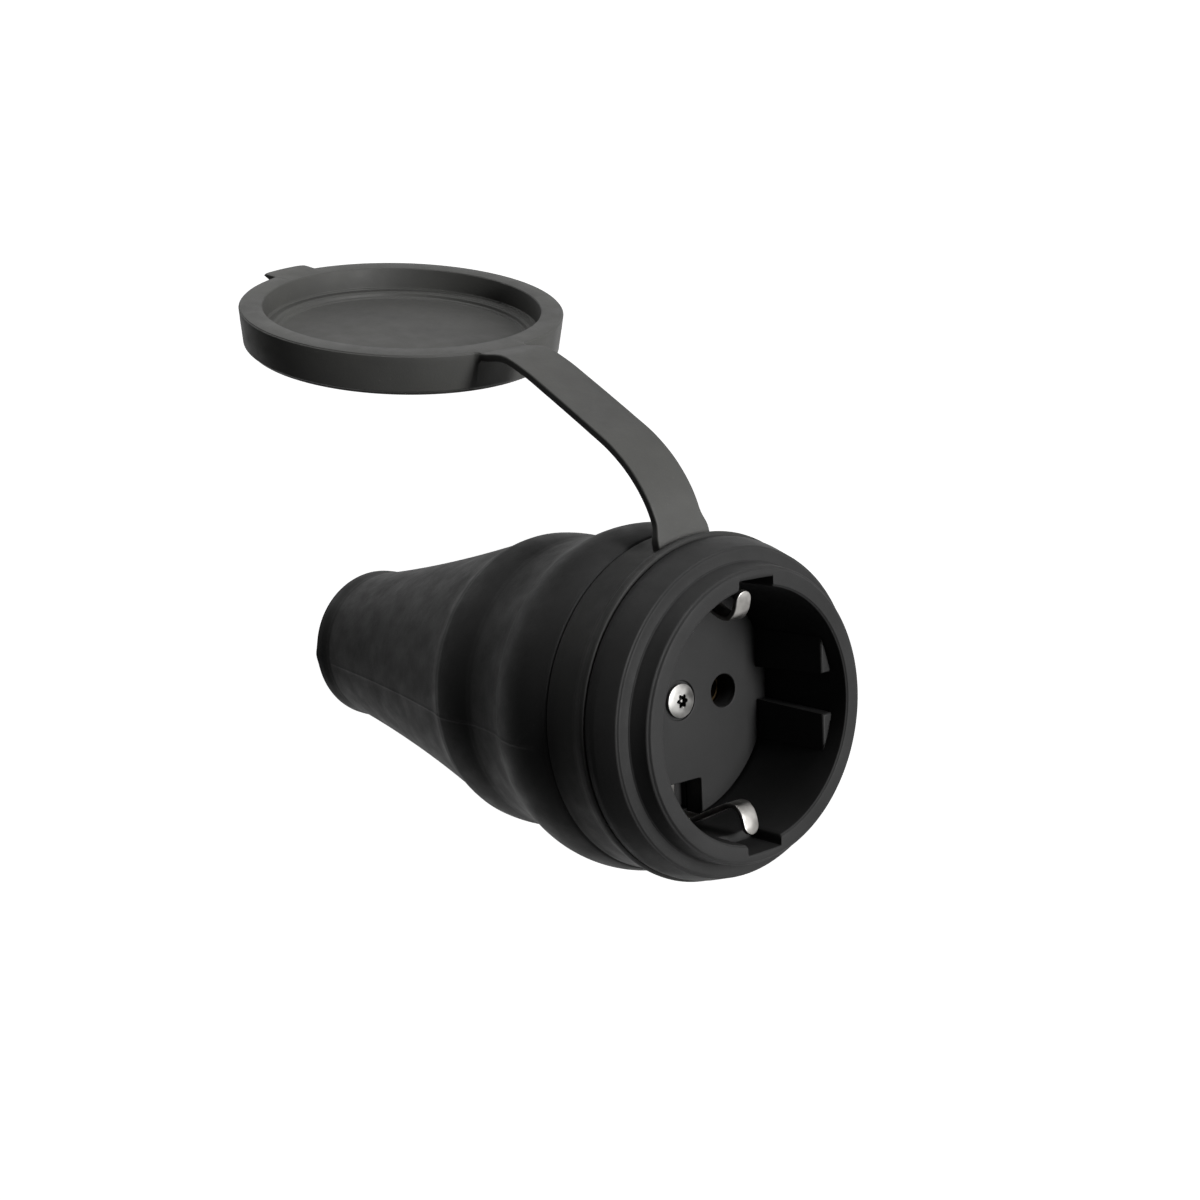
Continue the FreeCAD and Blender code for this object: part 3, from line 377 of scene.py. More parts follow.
def mouldedPlastic(name, dark, light, roughness, specular):
    # injection-moulded polyamide with a satin texture: even, slightly glossier than the rubber
    m = plasticMarks
    material, tree, place = newMaterial(name)
    patch = addNode(tree, "ShaderNodeTexNoise", {"Scale": 1000 / m["patch"], "Detail": 4.0},
                    {"Vector": place})
    tone = toneBetween(tree, patch, [(0.35, dark), (0.70, light)])
    haze = addNode(tree, "ShaderNodeTexNoise", {"Scale": 1000 / m["haze"], "Detail": 5.0},
                   {"Vector": place})
    rough = addNode(tree, "ShaderNodeMapRange",
                    {"From Min": 0.3, "From Max": 0.7,
                     "To Min": roughness - 0.02, "To Max": roughness + 0.03},
                    {"Value": haze.outputs["Fac"]})
    fleck = addNode(tree, "ShaderNodeTexNoise", {"Scale": 1000 / m["fleck"], "Detail": 3.0},
                    {"Vector": place})
    bump = addNode(tree, "ShaderNodeBump", {"Strength": 0.4, "Distance": m["fleckDepth"] / 1000},
                   {"Height": fleck.outputs["Fac"]})
    finishMaterial(
        tree, {"IOR": 1.53, "Metallic": 0.0, "Specular IOR Level": specular},
        {"Base Color": tone, "Roughness": rough.outputs["Result"],
         "Normal": bump.outputs["Normal"]})
    return material


metalMarks = {"cloud": 2.0, "lineDepth": 0.002}  # mm


def workedMetal(name, dark, light, roughness, stretch, grain=0.25):
    # plated or turned metal: fine lines along one direction and a little cloudiness in the gloss
    m = metalMarks
    material, tree, place = newMaterial(name)
    lines = addNode(tree, "ShaderNodeMapping", {"Scale": stretch}, {"Vector": place})
    brush = addNode(tree, "ShaderNodeTexNoise", {"Scale": 1000 / grain, "Detail": 3.0},
                    {"Vector": lines.outputs["Vector"]})
    cloud = addNode(tree, "ShaderNodeTexNoise", {"Scale": 1000 / m["cloud"], "Detail": 4.0},
                    {"Vector": place})
    tone = toneBetween(tree, cloud, [(0.30, dark), (0.65, light)])
    rough = addNode(tree, "ShaderNodeMapRange",
                    {"From Min": 0.3, "From Max": 0.7,
                     "To Min": roughness - 0.06, "To Max": roughness + 0.10},
                    {"Value": cloud.outputs["Fac"]})
    bump = addNode(tree, "ShaderNodeBump", {"Strength": 0.5, "Distance": m["lineDepth"] / 1000},
                   {"Height": brush.outputs["Fac"]})
    finishMaterial(tree, {"Metallic": 1.0}, {
        "Base Color": tone, "Roughness": rough.outputs["Result"],
        "Normal": bump.outputs["Normal"]})
    return material


housingRubber = vulcanisedRubber("vulcanisedRubberBlack", rubberLooks["housing"])
coverRubber = vulcanisedRubber("vulcanisedRubberGrey", rubberLooks["cover"])
# the ring gets the cover's rubber painted darker: painted shade, not a colour of its own
ringRubberPaintedShade = vulcanisedRubber("vulcanisedRubberPaintedShade", rubberLooks["ring"])
facePlastic = mouldedPlastic("satinPolyamideBlack", "#171717", "#1b1b1b", 0.58, 0.16)
carrierPlastic = mouldedPlastic("mouldedPolyamideDark", "#0c0c0c", "#111111", 0.62, 0.16)
clipSteel = workedMetal("nickelledSteelStrip", "#7b7976", "#979592", 0.33, (1.0, 0.08, 1.0))
screwSteel = workedMetal("zincPlatedSteel", "#706f6d", "#8b8a88", 0.43, (1.0, 1.0, 1.0), 0.35)
# the inside of the screw's drive is steel painted dark: painted shade of the hollow
driveSteelPaintedShade = workedMetal("punchedSteelPaintedShade", "#1c1c1c", "#2b2b2b", 0.50, (1.0, 1.0, 1.0), 0.30)
# the contacts' brass is painted dark for the shade inside the pin holes
turnedBrass = workedMetal("brassPaintedShade", "#352b1d", "#463926", 0.52, (0.1, 1.0, 1.0))
print("materials made")


housingForm = {
    # outline from the tail round the outside to the mouth and back: (along, radius, softness), mm
    "tail": [(-106.75, 5.6, 0.6), (-106.75, 14.4, 3.4), (-102.9, 14.5, 1.6), (-101.4, 14.25, 1.6)],
    "sleeve": ((-76.0, 18.45), (-51.4, 23.85), 0.9, 24),  # an arc: through, end, softness, points
    "shoulder": (-49.0, 24.85, 1.6),
    "bulges": [((-45.2, 25.05), (-40.4, 24.55), 1.4, 8), ((-35.6, 25.05), (-31.0, 26.15), 1.4, 8),
               ((-24.6, 27.85), (-17.8, 26.8), 0.5, 14)],
    "ringGroove": [(-17.8, 24.7, 0.2), (-9.2, 24.7, 0.2)],
    "collar": [(-9.2, 26.4, 0.35), (-7.6, 26.4, 0.8), (-3.6, 25.1, 0.9)],
    "neck": [(-3.6, 22.9, 0.5), (-0.01, 22.4, 1.2), (-0.01, 19.4, 0.7), (-6.5, 19.4, 0.0)],
    "faceGroove": [(-18.0, 19.4, 0.1), (-18.0, 21.0, 0.1), (-21.2, 21.0, 0.1), (-21.2, 19.4, 0.1)],
    "cableWay": [(-44.0, 19.4, 2.0), (-62.0, 13.2, 3.0), (-79.0, 5.6, 2.0)],
    "columns": 216,
    "recess": 19.4,
    # the two notches in the rim for the clips, with rows and columns of faces at their edges
    "notchHalfWidth": 3.5, "notchTop": 20.7, "notchDepth": 6.5,
    "notchRows": (-1.0, -5.9, -6.2, -6.35, -6.45, -6.55, -6.7, -7.0),
    "notchColumns": (8.6, 9.2, 9.6, 9.9, 10.2, 10.6, 11.2),
    # the mould's parting line
    "seamAngle": 185.7, "seamHeight": 0.10, "seamHalfWidth": 0.32, "seamEnds": (-101.0, -19.0),
    "seamColumns": (-1.1, -0.7, -0.3, 0, 0.3, 0.7, 1.1),
    # a little flash left on the tail end: along, angle, height, width along and around
    "nibAt": (-105.7, 181.0), "nibHeight": 0.25, "nibWidth": (1.1, 1.3),
    "swell": 0.05, "swellSize": 11.0,  # gentle unevenness of the moulded surface, mm
}


def housingSection():
    f = housingForm
    corners = list(f["tail"])

    def addArc(through, end, softness, count):
        arc = arcPoints(corners[-1][:2], through, end, count)
        corners.extend((x, r, 0.0) for x, r in arc[:-1])
        corners.append((arc[-1][0], arc[-1][1], softness))

    addArc(*f["sleeve"])
    corners.append(f["shoulder"])
    for bulge in f["bulges"]:
        addArc(*bulge)
    for part in ("ringGroove", "collar", "neck", "faceGroove", "cableWay"):
        corners.extend(f[part])
    loop = softLoop(corners)
    rows = []
    for k, (x, r) in enumerate(loop):
        rows.append((x, r))
        nextX, nextR = loop[(k + 1) % len(loop)]
        if max(abs(r - f["recess"]), abs(nextR - f["recess"])) < 0.01:
            rows.extend((stop, f["recess"]) for stop in f["notchRows"] if nextX < stop < x)
    return rows


def housingShape(x, r, angle):
    f = housingForm
    turn = math.radians(angle)
    if x > -8 and r < 21.0:  # the wall of the recess near the mouth
        across = r * math.cos(turn)
        half, floor = f["notchHalfWidth"], -f["notchDepth"]
        inside = 1 - smoothStep(abs(across), half - 0.25, half + 0.15)
        depth = smoothStep(x, floor - 0.1, floor + 0.15)
        wall = f["notchTop"] / max(0.5, abs(math.sin(turn)))
        r += max(0.0, wall - r) * inside * depth
    if r > 20.9 or x < -50:
        here = Vector((x, r * math.cos(turn), r * math.sin(turn)))
        if r > 6.5:  # not in the cable's bore
            r -= f["swell"] * (0.5 + 0.5 * noise.noise(here / f["swellSize"]))
        low, high = f["seamEnds"]
        if low < x < high and r > 13.3:  # not inside the sleeve
            off = math.radians(angle - f["seamAngle"]) * r
            ends = smoothStep(x, low, low + 1.5) * (1 - smoothStep(x, high - 1.5, high))
            r += f["seamHeight"] * ends * (1 - smoothStep(abs(off), 0.05, f["seamHalfWidth"]))
        if x < -103 and r > 8:  # the tail end outside its bore
            nibX, nibAngle = f["nibAt"]
            off = math.radians(angle - nibAngle) * r
            along, around = f["nibWidth"]
            nib = f["nibHeight"] * math.exp(-((x - nibX) / along) ** 2 - (off / around) ** 2)
            x -= nib * 0.7
            r += nib * 0.7
    return x, r


def makeHousing():
    f = housingForm
    extra = [f["seamAngle"] + off for off in f["seamColumns"]]
    for middle in (90, 270):
        for off in f["notchColumns"]:
            extra += [middle - off, middle + off]
    piece = turnedMesh("housingSleeve", housingSection(), roundColumns(f["columns"], extra),
                       plugFrame, housingRubber, housingShape)
    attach(piece, "housing")
    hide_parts("housing")


makeHousing()
print("housing made")


ringForm = {
    "inner": 24.75, "low": 26.4, "shoulder": 26.7, "lip": 27.1,  # radii, mm
    "back": -17.7, "front": -9.4,  # along the axis, mm
    "lipShare": 0.3,  # of its height that the lip keeps midway between strap and far side
    "swell": 0.04, "swellLength": 6, "swellWidth": 9,  # unevenness of the outside, mm
    "columns": 216,
}


def ringShape(x, r, angle):
    f = ringForm
    turn = math.radians(angle)
    if r > f["low"] and x > f["front"] - 3:
        # the lip stands proud near the strap and across from it only
        share = f["lipShare"] + (1 - f["lipShare"]) * math.sin(turn) ** 2
        r = f["low"] + (r - f["low"]) * share
    if r > 25.5:
        wide = r / f["swellWidth"]
        here = Vector((x / f["swellLength"], wide * math.cos(turn), wide * math.sin(turn)))
        r -= f["swell"] * (0.5 + 0.5 * noise.noise(here))
    return x, r


def makeRing():
    f = ringForm
    corners = [
        (f["back"], f["inner"], 0.2), (f["back"], f["shoulder"], 0.5),
        (f["back"] + 1.4, f["low"] + 0.05, 0.8), (f["front"] - 2.3, f["low"], 0.8),
        (f["front"] - 1.1, f["lip"], 0.8), (f["front"] - 0.25, f["lip"], 0.5),
        (f["front"], f["lip"] - 0.3, 0.3), (f["front"], f["inner"], 0.2)]
    piece = turnedMesh("strapRing", softLoop(corners, 0.06, 0.003), roundColumns(f["columns"]),
                       strapFrame, ringRubberPaintedShade, ringShape)
    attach(piece, "housing")
    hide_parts("strap_ring")


makeRing()
print("ring made")


strapForm = {
    "hinges": [(-11.33, 27.60), (-12.78, 32.92), (-15.63, 37.66), (-19.52, 41.56),
               (-24.07, 44.72), (-28.70, 47.76), (-33.36, 50.76), (-38.08, 53.68),
               (-43.13, 55.98), (-48.59, 56.70)],
    # in the ring, just before the cover's rim, and in the rim
    "start": (-11.25, 25.3), "atCover": (-48.2, 56.46), "end": (-50.7, 57.16),
    "width": 9.2, "thickness": 1.3, "edge": 0.28,
    "rootWidth": 10.6, "rootThickness": 1.7, "rootFrom": 1.8, "rootLength": 3.2,
    "coverWidth": 9.5, "coverLength": 3.0,
    "step": 0.45,  # length of one row of faces, mm
    "blendEnds": (0.55, 10.6),  # where the strap starts and stops to bend, counted in line points
}


def splinePoint(points, s):
    # Catmull-Rom through the points, s counted in points
    k = min(max(int(s), 0), len(points) - 2)
    t = s - k
    a = points[max(k - 1, 0)]
    b, c = points[k], points[k + 1]
    d = points[min(k + 2, len(points) - 1)]
    out = []
    for i in (0, 1):
        out.append(0.5 * (2 * b[i] + (c[i] - a[i]) * t
                          + (2 * a[i] - 5 * b[i] + 4 * c[i] - d[i]) * t * t
                          + (3 * b[i] - a[i] - 3 * c[i] + d[i]) * t ** 3))
    return out


def strapLine():
    f = strapForm
    return [f["start"]] + f["hinges"][:-1] + [f["atCover"], f["end"]]


def lineDirection(path, k):
    # direction of a line of (along, out) points at its point k
    before, after = path[max(k - 1, 0)], path[min(k + 1, len(path) - 1)]
    return Vector((after[0] - before[0], 0, after[1] - before[1])).normalized()


def strapStations():
    # along the front face: points of the line passed, place, direction, width and thickness
    f = strapForm
    line = strapLine()
    counts = []
    for k in range(len(line) - 1):
        length = math.hypot(line[k + 1][0] - line[k][0], line[k + 1][1] - line[k][1])
        pieces = max(2, 2 * round(length / f["step"] / 2))
        counts += [k + j / pieces for j in range(pieces)]
    path = [splinePoint(line, count) for count in counts]
    counts.append(len(line) - 1.0)
    path.append(list(line[-1]))
    total = [0.0]
    for k in range(1, len(path)):
        total.append(total[-1] + math.dist(path[k], path[k - 1]))
    stations = []
    for k, (x, z) in enumerate(path):
        root = 1 - smoothStep(total[k], f["rootFrom"], f["rootFrom"] + f["rootLength"])
        end = smoothStep(total[k], total[-1] - f["coverLength"] - 1.0, total[-1] - 0.8)
        width = (f["width"] + (f["rootWidth"] - f["width"]) * root
                 + (f["coverWidth"] - f["width"]) * end ** 1.6)
        thick = f["thickness"] + (f["rootThickness"] - f["thickness"]) * root ** 1.5
        stations.append((counts[k], Vector((x, 0, z)), lineDirection(path, k), width, thick))
    return stations


def strapRow(station):
    # the strap's cross section at one station: the front face is on the line, the back behind it
    _, here, direction, width, thick = station
    back = direction.cross(Vector((0, 1, 0))).normalized()
    if back.x > 0:
        back = -back
    return [here + Vector((0, across, 0)) + back * (through + thick / 2)
            for across, through in roundedSection(width, thick, strapForm["edge"])]


def makeStrap():
    f = strapForm
    stations = strapStations()
    line = strapLine()
    last = len(f["hinges"]) - 1

    for k in range(last + 1):
        # each piece reaches from the middle of one link to the middle of the next
        low = 0.0 if k == 0 else k + 0.5
        high = len(line) - 1.0 if k == last else k + 1.5
        rows = [strapRow(s) for s in stations if low - 1e-6 <= s[0] <= high + 1e-6]
        piece = sweptMesh(f"strapBend{k}", rows, strapFrame, coverRubber)
        tidyMesh(piece, 50)
        levelNormals(piece)
        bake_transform(piece)
        if k < last:
            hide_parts(f"strap_link_{k + 1}")


makeStrap()
print("strap made")


coverForm = {
    "rim": 28.3, "base": 27.7, "height": 7.15, "columns": 216,
    "bore": 24.3, "stepDepth": 4.0, "stepRadius": 22.4, "depth": 5.2,
    # rows of faces below the rim, where the tab and the strap's root grow out: depth, inset
    "rimRows": [(2.2, 0.18), (1.9, 0.16), (1.6, 0.14), (1.3, 0.12), (0.9, 0.08)],
    "skin": 26.0, "skinEdge": 26.6,  # radii from which the rim's outside begins to move
    "tabAngle": 11.0, "tabWidth": 9.6, "tabReach": 3.25, "tabThickness": 1.1,
    "tabColumns": (7.6, 8.4, 8.9, 9.2, 9.5, 9.8, 10.2),
    # where the strap grows out of the rim
    "rootHalfWidth": 4.6, "rootFlare": 0.8, "rootReach": 0.9, "rootThickness": 1.3,
    "rootColumns": (8.8, 9.22, 9.35, 9.5, 9.75, 10.1, 10.5, 10.9, 11.3),
    "swell": 0.03, "swellSize": 9.0,  # unevenness of the rim's top, mm
}


def coverShape(x, r, angle):
    f = coverForm
    turn = math.radians(angle)
    outside = smoothStep(r, f["skinEdge"], f["rim"] - 0.1)
    if r > f["skin"] and x > -f["tabThickness"] - 0.35:
        # the pull tab stands out of the rim
        off = math.radians((angle - 90 - f["tabAngle"] + 180) % 360 - 180)
        if abs(off) < 1:
            across = abs(f["rim"] * math.tan(off))
            half = f["tabWidth"] / 2
            inside = 1 - smoothStep(across, half - 0.35, half + 0.10)
            corner = max(0.0, across - (half - 1.5)) ** 2 / 3.0
            under = smoothStep(x, -f["tabThickness"] - 0.3, -f["tabThickness"] + 0.05)
            r += (f["tabReach"] - corner) * inside * under * outside
    if f["skin"] < r and x > -f["rootThickness"] - 0.45 and 225 < angle < 315:
        across = abs(f["rim"] * math.tan(math.radians(angle - 270)))
        if across < f["rootHalfWidth"] + f["rootFlare"]:
            side = max(0.0, across - f["rootHalfWidth"]) / f["rootFlare"]
            under = smoothStep(x, -f["rootThickness"] - 0.4, -f["rootThickness"])
            r += f["rootReach"] * (1 - math.sqrt(side)) * under * outside
    if r > 2 and x > -1.0:
        here = Vector((x, r * math.cos(turn), r * math.sin(turn)))
        x -= f["swell"] * (0.5 + 0.5 * noise.noise(here / f["swellSize"]))
    return x, r


def makeCover():
    f = coverForm
    corners = [(-f["height"], 0.0, 0.0), (-f["height"], f["base"] - 0.05, 2.1)]
    corners += [(-depth, f["rim"] - inset, 0.0) for depth, inset in f["rimRows"]]
    corners += [
        (0.0, f["rim"], 0.7), (0.0, f["bore"], 0.35),
        (-f["stepDepth"], f["bore"] - 0.2, 0.8), (-f["stepDepth"] - 0.1, f["stepRadius"], 0.8),
        (-f["depth"], f["stepRadius"] - 0.4, 1.0), (-f["depth"], 12.0, 0.0),
        (-f["depth"], 0.0, 0.0)]
    extra = []
    for middle, columns in ((90 + f["tabAngle"], "tabColumns"), (270, "rootColumns")):
        for off in f[columns]:
            extra += [middle - off, middle + off]
    loop = softLoop(corners, 0.06, 0.003, closed=False)
    piece = turnedMesh("roundCover", loop, roundColumns(f["columns"], extra),
                       coverFrame, coverRubber, coverShape, closed=False)
    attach(piece, "cover")
    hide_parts("cap")


makeCover()
print("cover made")


faceForm = {
    "front": -17.5, "seatFront": -18.1, "back": -21.1,  # along the axis, mm
    "recess": 19.3, "seat": 20.9, "edge": 0.18,
    "pinSpacing": 19.0, "pinHole": 2.7,
    "screwSink": 3.15, "screwHole": 2.05,
    "slotHalfWidth": 3.9, "slotInner": 13.2, "slotCorner": 0.5,
    "ribChord": 17.0, "ribGap": 2.7, "ribFront": -3.0, "ribDraft": 0.6, "ribEdge": 0.35,
}


def plateMesh(name, outlines, low, high, edge):
    # a flat plate from closed outlines of (y, z) points, holes included, with rounded edges
    curve = bpy.data.curves.new(name, "CURVE")
    curve.dimensions = "2D"
    curve.fill_mode = "BOTH"
    curve.extrude = (high - low) / 2 - edge
    curve.bevel_depth = edge
    curve.bevel_resolution = 2
    curve.offset = -edge
    for outline in outlines:
        spline = curve.splines.new("POLY")
        spline.points.add(len(outline) - 1)
        spline.use_cyclic_u = True
        for point, (y, z) in zip(spline.points, outline):
            point.co = (y, z, 0, 1)
    draft = addPiece(name + "Draft", curve)
    bpy.context.view_layer.update()
    mesh = bpy.data.meshes.new_from_object(draft)
    bpy.data.objects.remove(draft)
    upright = Matrix(((0, 0, 1, (low + high) / 2), (1, 0, 0, 0), (0, 1, 0, 0), (0, 0, 0, 1)))
    mesh.transform(plugFrame @ upright)
    piece = addPiece(name, mesh)
    tidyMesh(piece, 25)
    mesh.materials.clear()
    mesh.materials.append(facePlastic)
    return piece


def ringOutline(y, z, radius, count=72):
    turns = [math.tau * k / count for k in range(count)]
    return [(y + radius * math.cos(turn), z + radius * math.sin(turn)) for turn in turns]


def faceOutline(radius):
    # a disc open at the two clip slots
    f = faceForm
    half, inner, corner = f["slotHalfWidth"], f["slotInner"], f["slotCorner"]
    count, cornerCount = 70, 5
    outline = []
    edgeTurn = math.degrees(math.asin(half / radius))
    for side, middle in ((-1, 180), (1, 360)):
        start, end = middle - 90 + edgeTurn, middle + 90 - edgeTurn
        for k in range(count + 1):
            turn = math.radians(start + (end - start) * k / count)
            outline.append((radius * math.cos(turn), radius * math.sin(turn)))
        # down one side of the slot, across its inner edge with rounded corners, and up the other
        bends = [math.radians(90 * k / cornerCount) for k in range(cornerCount + 1)]
        rounds = [(half - corner + corner * math.cos(turn),
                   inner + corner - corner * math.sin(turn)) for turn in bends]
        outline += [(side * y, side * z) for y, z in rounds]
        outline += [(-side * y, side * z) for y, z in reversed(rounds)]
    return outline


def ribOutline(side, level):
    f = faceForm
    radius = f["recess"]
    count = 16
    low = math.degrees(math.asin(f["ribGap"] / radius))
    high = math.degrees(math.acos(f["ribChord"] / radius))
    outline = [(side * f["ribChord"], level * f["ribGap"])]
    for k in range(count + 1):
        turn = math.radians(low + (high - low) * k / count)
        outline.append((side * radius * math.cos(turn), level * radius * math.sin(turn)))
    return outline


def dropFlap(piece):
    # a union can leave a flap inside: the smallest of the patches between edges of three faces
    form = bmesh.new()
    form.from_mesh(piece.data)
    left = set(form.faces)
    patches = []
    while left:
        stack = [left.pop()]
        patch = []
        while stack:
            face = stack.pop()
            patch.append(face)
            near = {other for edge in face.edges if len(edge.link_faces) == 2
                    for other in edge.link_faces} & left
            left -= near
            stack.extend(near)
        patches.append(patch)
    if len(patches) > 2:
        flap = min(patches, key=lambda patch: sum(face.calc_area() for face in patch))
        bmesh.ops.delete(form, geom=flap, context="FACES_ONLY")
        form.to_mesh(piece.data)
    form.free()


def joinPieces(name, pieces):
    # fuses solids into one moulding
    base = pieces[0]
    for other in pieces[1:]:
        step = base.modifiers.new("fuse", "BOOLEAN")
        step.operation = "UNION"
        step.solver = "EXACT"
        step.object = other
        bpy.context.view_layer.update()
        depsgraph = bpy.context.evaluated_depsgraph_get()
        mesh = bpy.data.meshes.new_from_object(base.evaluated_get(depsgraph))
        base.modifiers.clear()
        base.data = mesh
        dropFlap(base)
        bpy.data.objects.remove(other)
    base.name = name
    tidyMesh(base, 25)
    return base


def makeRibs():
    f = faceForm
    toPlug = plugFrame.inverted()
    ribs = []
    for k, (side, level) in enumerate(((-1, -1), (-1, 1), (1, -1), (1, 1))):
        rib = plateMesh(f"faceRib{k}", [ribOutline(side, level)],
                        f["front"] - 0.3, f["ribFront"], f["ribEdge"])
        for vertex in rib.data.vertices:
            # the side towards the other rib leans back by the mould's draft
            x, y, z = toPlug @ vertex.co
            reach = (x - f["front"]) / (f["ribFront"] - f["front"])
            if abs(z) < 4:
                z += math.copysign(f["ribDraft"] * reach, z)
            vertex.co = plugFrame @ Vector((x, y, z))
        ribs.append(rib)
    return ribs


def makeFace():
    f = faceForm
    holes = [ringOutline(side * f["pinSpacing"] / 2, 0, f["pinHole"]) for side in (-1, 1)]
    sink, hole = ringOutline(0, 0, f["screwSink"]), ringOutline(0, 0, f["screwHole"])
    disc, seat = faceOutline(f["recess"]), faceOutline(f["seat"])
    # three plates that overlap a little: the front with the screw's sink, the core, the seat
    front = plateMesh("faceFront", [disc] + holes + [sink],
                      f["front"] - 0.45, f["front"], f["edge"])
    core = plateMesh("faceCore", [disc] + holes + [hole],
                     f["seatFront"] - 0.05, f["front"] - 0.40, 0.02)
    rim = plateMesh("faceSeat", [seat] + holes + [hole], f["back"], f["seatFront"], 0.1)
    piece = joinPieces("pinFace", [core, front, rim] + makeRibs())
    axis = (plugFrame.to_3x3() @ Vector((1, 0, 0))).normalized()
    for face in piece.data.polygons:
        # flat sides stay flat to the eye
        face.use_smooth = face.area < 2e-6 and abs(face.normal.dot(axis)) < 0.999
    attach(piece, "housing")
    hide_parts("insert_face")


makeFace()
print("face made")


clipForm = {
    "thickness": 0.8, "width": 3.1, "webWidth": 7.2, "edge": 0.2,
    # outer side of the bent strip: along the plug axis, and out from it
    "line": [(-21.3, 18.75), (-18.5, 18.75), (-15.2, 18.70), (-13.0, 17.75), (-9.5, 16.0),
             (-6.8, 14.75), (-5.4, 14.45), (-4.4, 14.75), (-3.4, 16.0), (-2.75, 18.72)],
    "webAt": -21.75, "webHalf": 9.1,  # where the strip crosses, and how far it is wide there
    "webRows": (18.2, 9.4, 8.8, 0.0, -8.8, -9.4, -18.2),
    "rows": 8, "tipRows": 30,  # of faces between two points of the line
}


def clipHalf(sign):
    # one clip from the web to its tip, with the width there: the tip is round
    f = clipForm
    line = f["line"]
    last = len(line) - 2
    path = []
    for k in range(last + 1):
        steps = f["tipRows"] if k == last else f["rows"]
        path += [splinePoint(line, k + j / steps) for j in range(steps + (k == last))]
    left = 0.0
    half = []
    radius = f["width"] / 2
    for k in range(len(path) - 1, -1, -1):
        if k < len(path) - 1:
            left += math.dist(path[k], path[k + 1])
        width = f["width"]
        if left <= radius:
            width = 2 * math.sqrt(max(0.03, radius ** 2 - (radius - left) ** 2))
        half.append((path[k][0], sign * path[k][1], width))
    return half[::-1]


def makeClips():
    # one strip: down from the upper clip, across behind the face, and out to the lower clip
    f = clipForm
    web = [(f["webAt"], z, f["width"] if abs(z) > f["webHalf"] else f["webWidth"])
           for z in f["webRows"]]
    path = clipHalf(1)[::-1] + web + clipHalf(-1)
    rows = []
    for k, (x, z, width) in enumerate(path):
        direction = lineDirection(path, k)
        out = Vector((direction.z, 0, -direction.x))
        rows.append([Vector((x, across, z)) + out * through
                     for across, through in roundedSection(width, f["thickness"], f["edge"], 3)])
    piece = sweptMesh("earthClips", rows, plugFrame, clipSteel)
    tidyMesh(piece, 50)
    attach(piece, "housing")
    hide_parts("earth_strip")


makeClips()
print("clips made")


screwForm = {
    "head": 2.75, "height": 1.0, "domeDrop": 0.32, "seat": -17.95, "columns": 96,
    "driveOuter": 1.12, "driveInner": 0.76, "driveDepth": 1.2,
    "boss": 0.36,  # the punched drive has a small bright boss in its middle
    "domeRows": (1.75, 2.0, 2.25, 2.45, 2.6, 2.7),
    "shank": 1.75, "tip": 1.25, "shankEnd": -32.4, "tipEnd": -32.7,
}


def driveLobe(angle, share):
    # outline of the six-lobe drive
    f = screwForm
    wave = (0.5 + 0.5 * math.cos(6 * angle)) ** 0.8
    return share * (f["driveInner"] + (f["driveOuter"] - f["driveInner"]) * wave)


def screwRows(top):
    # from the middle of the drive out over the head and down the shank: kind, size, height;
    # a row without a height lies on the dome
    f = screwForm
    bottom = top - f["driveDepth"]
    rows = [
        ("round", 0.03, top - 0.18), ("round", f["boss"] * 0.6, top - 0.22),
        ("round", f["boss"], top - 0.42), ("round", f["boss"] + 0.04, bottom),
        ("lobe", 0.93, bottom), ("lobe", 0.97, bottom + 0.06), ("lobe", 1.00, top - 0.22),
        ("lobe", 1.02, None), ("lobe", 1.07, None)]
    rows += [("round", r, None) for r in f["domeRows"]]
    rows += [("round", r, x) for r, x in (
        (2.73, top - 0.36), (f["head"], top - 0.46), (f["head"], f["seat"] + 0.25),
        (2.7, f["seat"] + 0.05), (2.6, f["seat"]), (f["shank"], f["seat"]),
        (f["shank"], f["shankEnd"]), (f["tip"], f["tipEnd"]), (0.03, f["tipEnd"]))]
    return rows


def makeScrew():
    f = screwForm
    top = f["seat"] + f["height"]
    rows = []
    for kind, size, height in screwRows(top):
        row = []
        for c in range(f["columns"]):
            angle = math.tau * c / f["columns"]
            radius = driveLobe(angle, size) if kind == "lobe" else size
            x = height
            if x is None:
                x = top - f["domeDrop"] * (radius / f["head"]) ** 2.4
                if kind == "lobe" and size < 1.05:
                    x -= 0.06  # the drive's edge is bevelled
            row.append((x, radius * math.cos(angle), radius * math.sin(angle)))
        rows.append(row)
    piece = sweptMesh("centreScrew", rows, plugFrame, screwSteel)
    tidyMesh(piece, 40)
    piece.data.materials.append(driveSteelPaintedShade)
    toPlug = plugFrame.inverted()
    for face in piece.data.polygons:
        x, y, z = toPlug @ face.center
        out = math.hypot(y, z)
        # the drive's inside gets the dark steel: painted shade in the hollow
        if out < f["driveOuter"] and f["seat"] - 0.5 < x < top - (0.1 if out > 0.6 else 0.55):
            face.material_index = 1  # inside of the drive
    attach(piece, "housing")
    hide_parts("centre_screw")


makeScrew()
print("screw made")

# inner parts keep their CAD shape
innerFinishes = {
    "contact_carrier": carrierPlastic, "cord_clamp": carrierPlastic,
    "contact_near": turnedBrass, "contact_far": turnedBrass, "earth_terminal": turnedBrass,
    "centre_nut": screwSteel, "terminal_screws": screwSteel, "clamp_screws": screwSteel,
}
for nodeName, finish in innerFinishes.items():
    for materialSlot in frame["nodes"][nodeName].material_slots:
        materialSlot.material = finish


floorForm = {"size": 8.0, "below": 0.0002, "glow": 0.90, "cloudsPerMetre": 3.0}


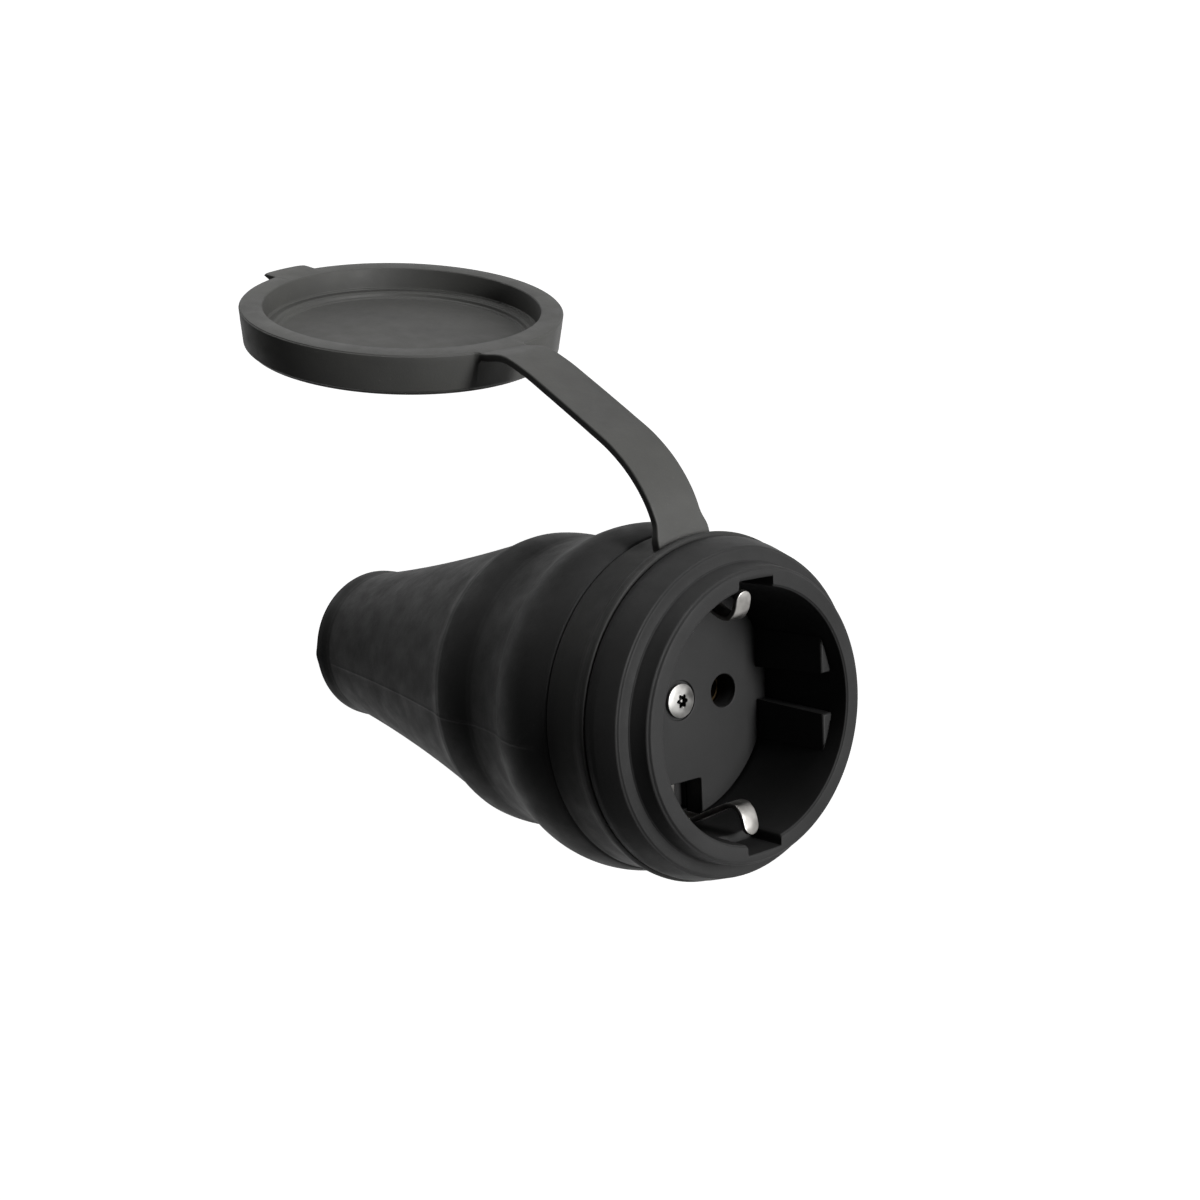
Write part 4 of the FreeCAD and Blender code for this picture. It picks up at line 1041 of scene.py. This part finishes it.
def makeFloor():
    # frosted acrylic of a light table: white, glowing a little from below
    f = floorForm
    material, tree, place = newMaterial("frostedAcrylicWhite")
    patch = addNode(tree, "ShaderNodeTexNoise", {"Scale": f["cloudsPerMetre"], "Detail": 2.0},
                    {"Vector": place})
    tone = toneBetween(tree, patch, [(0.3, "#d8d8d8"), (0.7, "#dddddd")])
    finishMaterial(
        tree, {"Roughness": 0.9, "Emission Color": (1, 1, 1, 1), "Emission Strength": f["glow"]},
        {"Base Color": tone})
    bpy.ops.mesh.primitive_plane_add(size=f["size"], location=(0, 0, -f["below"]))
    floor = bpy.context.object
    floor.name = "studioFloor"
    floor.data.materials.append(material)


makeFloor()
print("floor made")


# name: (place in metres, aimed at the middle of the scene; width and height in metres; watts)
lightForm = {
    "frontLight": ((1.38, 0.22, 0.11), (0.80, 0.22), 40.0),
    "sideLight": ((-0.05, 1.40, 0.16), (0.80, 0.32), 11.0),
    "tailLight": ((-1.10, 0.90, 0.22), (0.50, 0.40), 2.5),
}
# brightness, and the upward slopes of the view between which it fades
skyForm = {"horizon": 0.85, "zenith": 0.12, "blend": (0.0, 0.13)}


def makeLights():
    for name, (place, size, watts) in lightForm.items():
        light = bpy.data.lights.new(name, "AREA")
        light.shape = "RECTANGLE"
        light.size, light.size_y = size
        light.energy = watts
        lamp = addPiece(name, light)
        lamp.location = place
        lamp.rotation_mode = "QUATERNION"
        lamp.rotation_quaternion = (-Vector(place)).to_track_quat("-Z", "Y")


def makeSky():
    # a white room with a dark ceiling
    f = skyForm
    world = bpy.data.worlds.new("studio")
    world.use_nodes = True
    tree = world.node_tree
    coords = addNode(tree, "ShaderNodeTexCoord")
    split = addNode(tree, "ShaderNodeSeparateXYZ", links={"Vector": coords.outputs["Generated"]})
    fade = addNode(tree, "ShaderNodeMapRange",
                   {"From Min": f["blend"][0], "From Max": f["blend"][1],
                    "To Min": f["horizon"], "To Max": f["zenith"]}, {"Value": split.outputs["Z"]})
    background = tree.nodes["Background"]
    tree.links.new(fade.outputs["Result"], background.inputs["Strength"])
    background.inputs["Color"].default_value = (1, 1, 1, 1)
    bpy.context.scene.world = world
    bpy.context.scene.view_settings.view_transform = "Standard"


makeLights()
makeSky()
print("lights made")


cameraForm = {
    "azimuth": 39.721, "elevation": 8.582, "roll": -2.789,  # about the plug axis and the clips
    "distance": 230.924,  # from the mouth of the recess, mm
    "picture": 1200, "focal": 1555.306,  # pixels
    "mouthAt": (760.801, 716.389),  # pixel of the middle of the recess mouth
    "sensor": 36.0,  # mm
}


def makeCamera():
    f = cameraForm
    azimuth, elevation, roll = (math.radians(f[key]) for key in ("azimuth", "elevation", "roll"))
    back = Vector((math.cos(azimuth) * math.cos(elevation),
                   -math.sin(azimuth) * math.cos(elevation), math.sin(elevation)))
    right = Vector((math.sin(azimuth), math.cos(azimuth), 0))
    up = back.cross(right)
    if up.z < 0:
        up = -up
    rolledRight = right * math.cos(roll) + up * math.sin(roll)
    rolledUp = up * math.cos(roll) - right * math.sin(roll)
    perPixel = f["distance"] / f["focal"]
    offX = (f["mouthAt"][0] - f["picture"] / 2) * perPixel
    offY = -(f["mouthAt"][1] - f["picture"] / 2) * perPixel
    place = back * f["distance"] - rolledUp * offY - rolledRight * offX
    camera = bpy.data.cameras.new("productCamera")
    camera.sensor_width = f["sensor"]
    camera.lens = f["focal"] / f["picture"] * f["sensor"]
    camera.clip_start = 0.01
    camera.clip_end = 10
    holder = addPiece("productCamera", camera)
    turn = plugFrame.to_3x3()
    axes = [(turn @ axis).normalized() for axis in (rolledRight, rolledUp, back)]
    holder.matrix_world = columnsMatrix(*axes, plugFrame @ place)
    bpy.context.scene.camera = holder


makeCamera()
print("camera set")

bpy.context.view_layer.update()
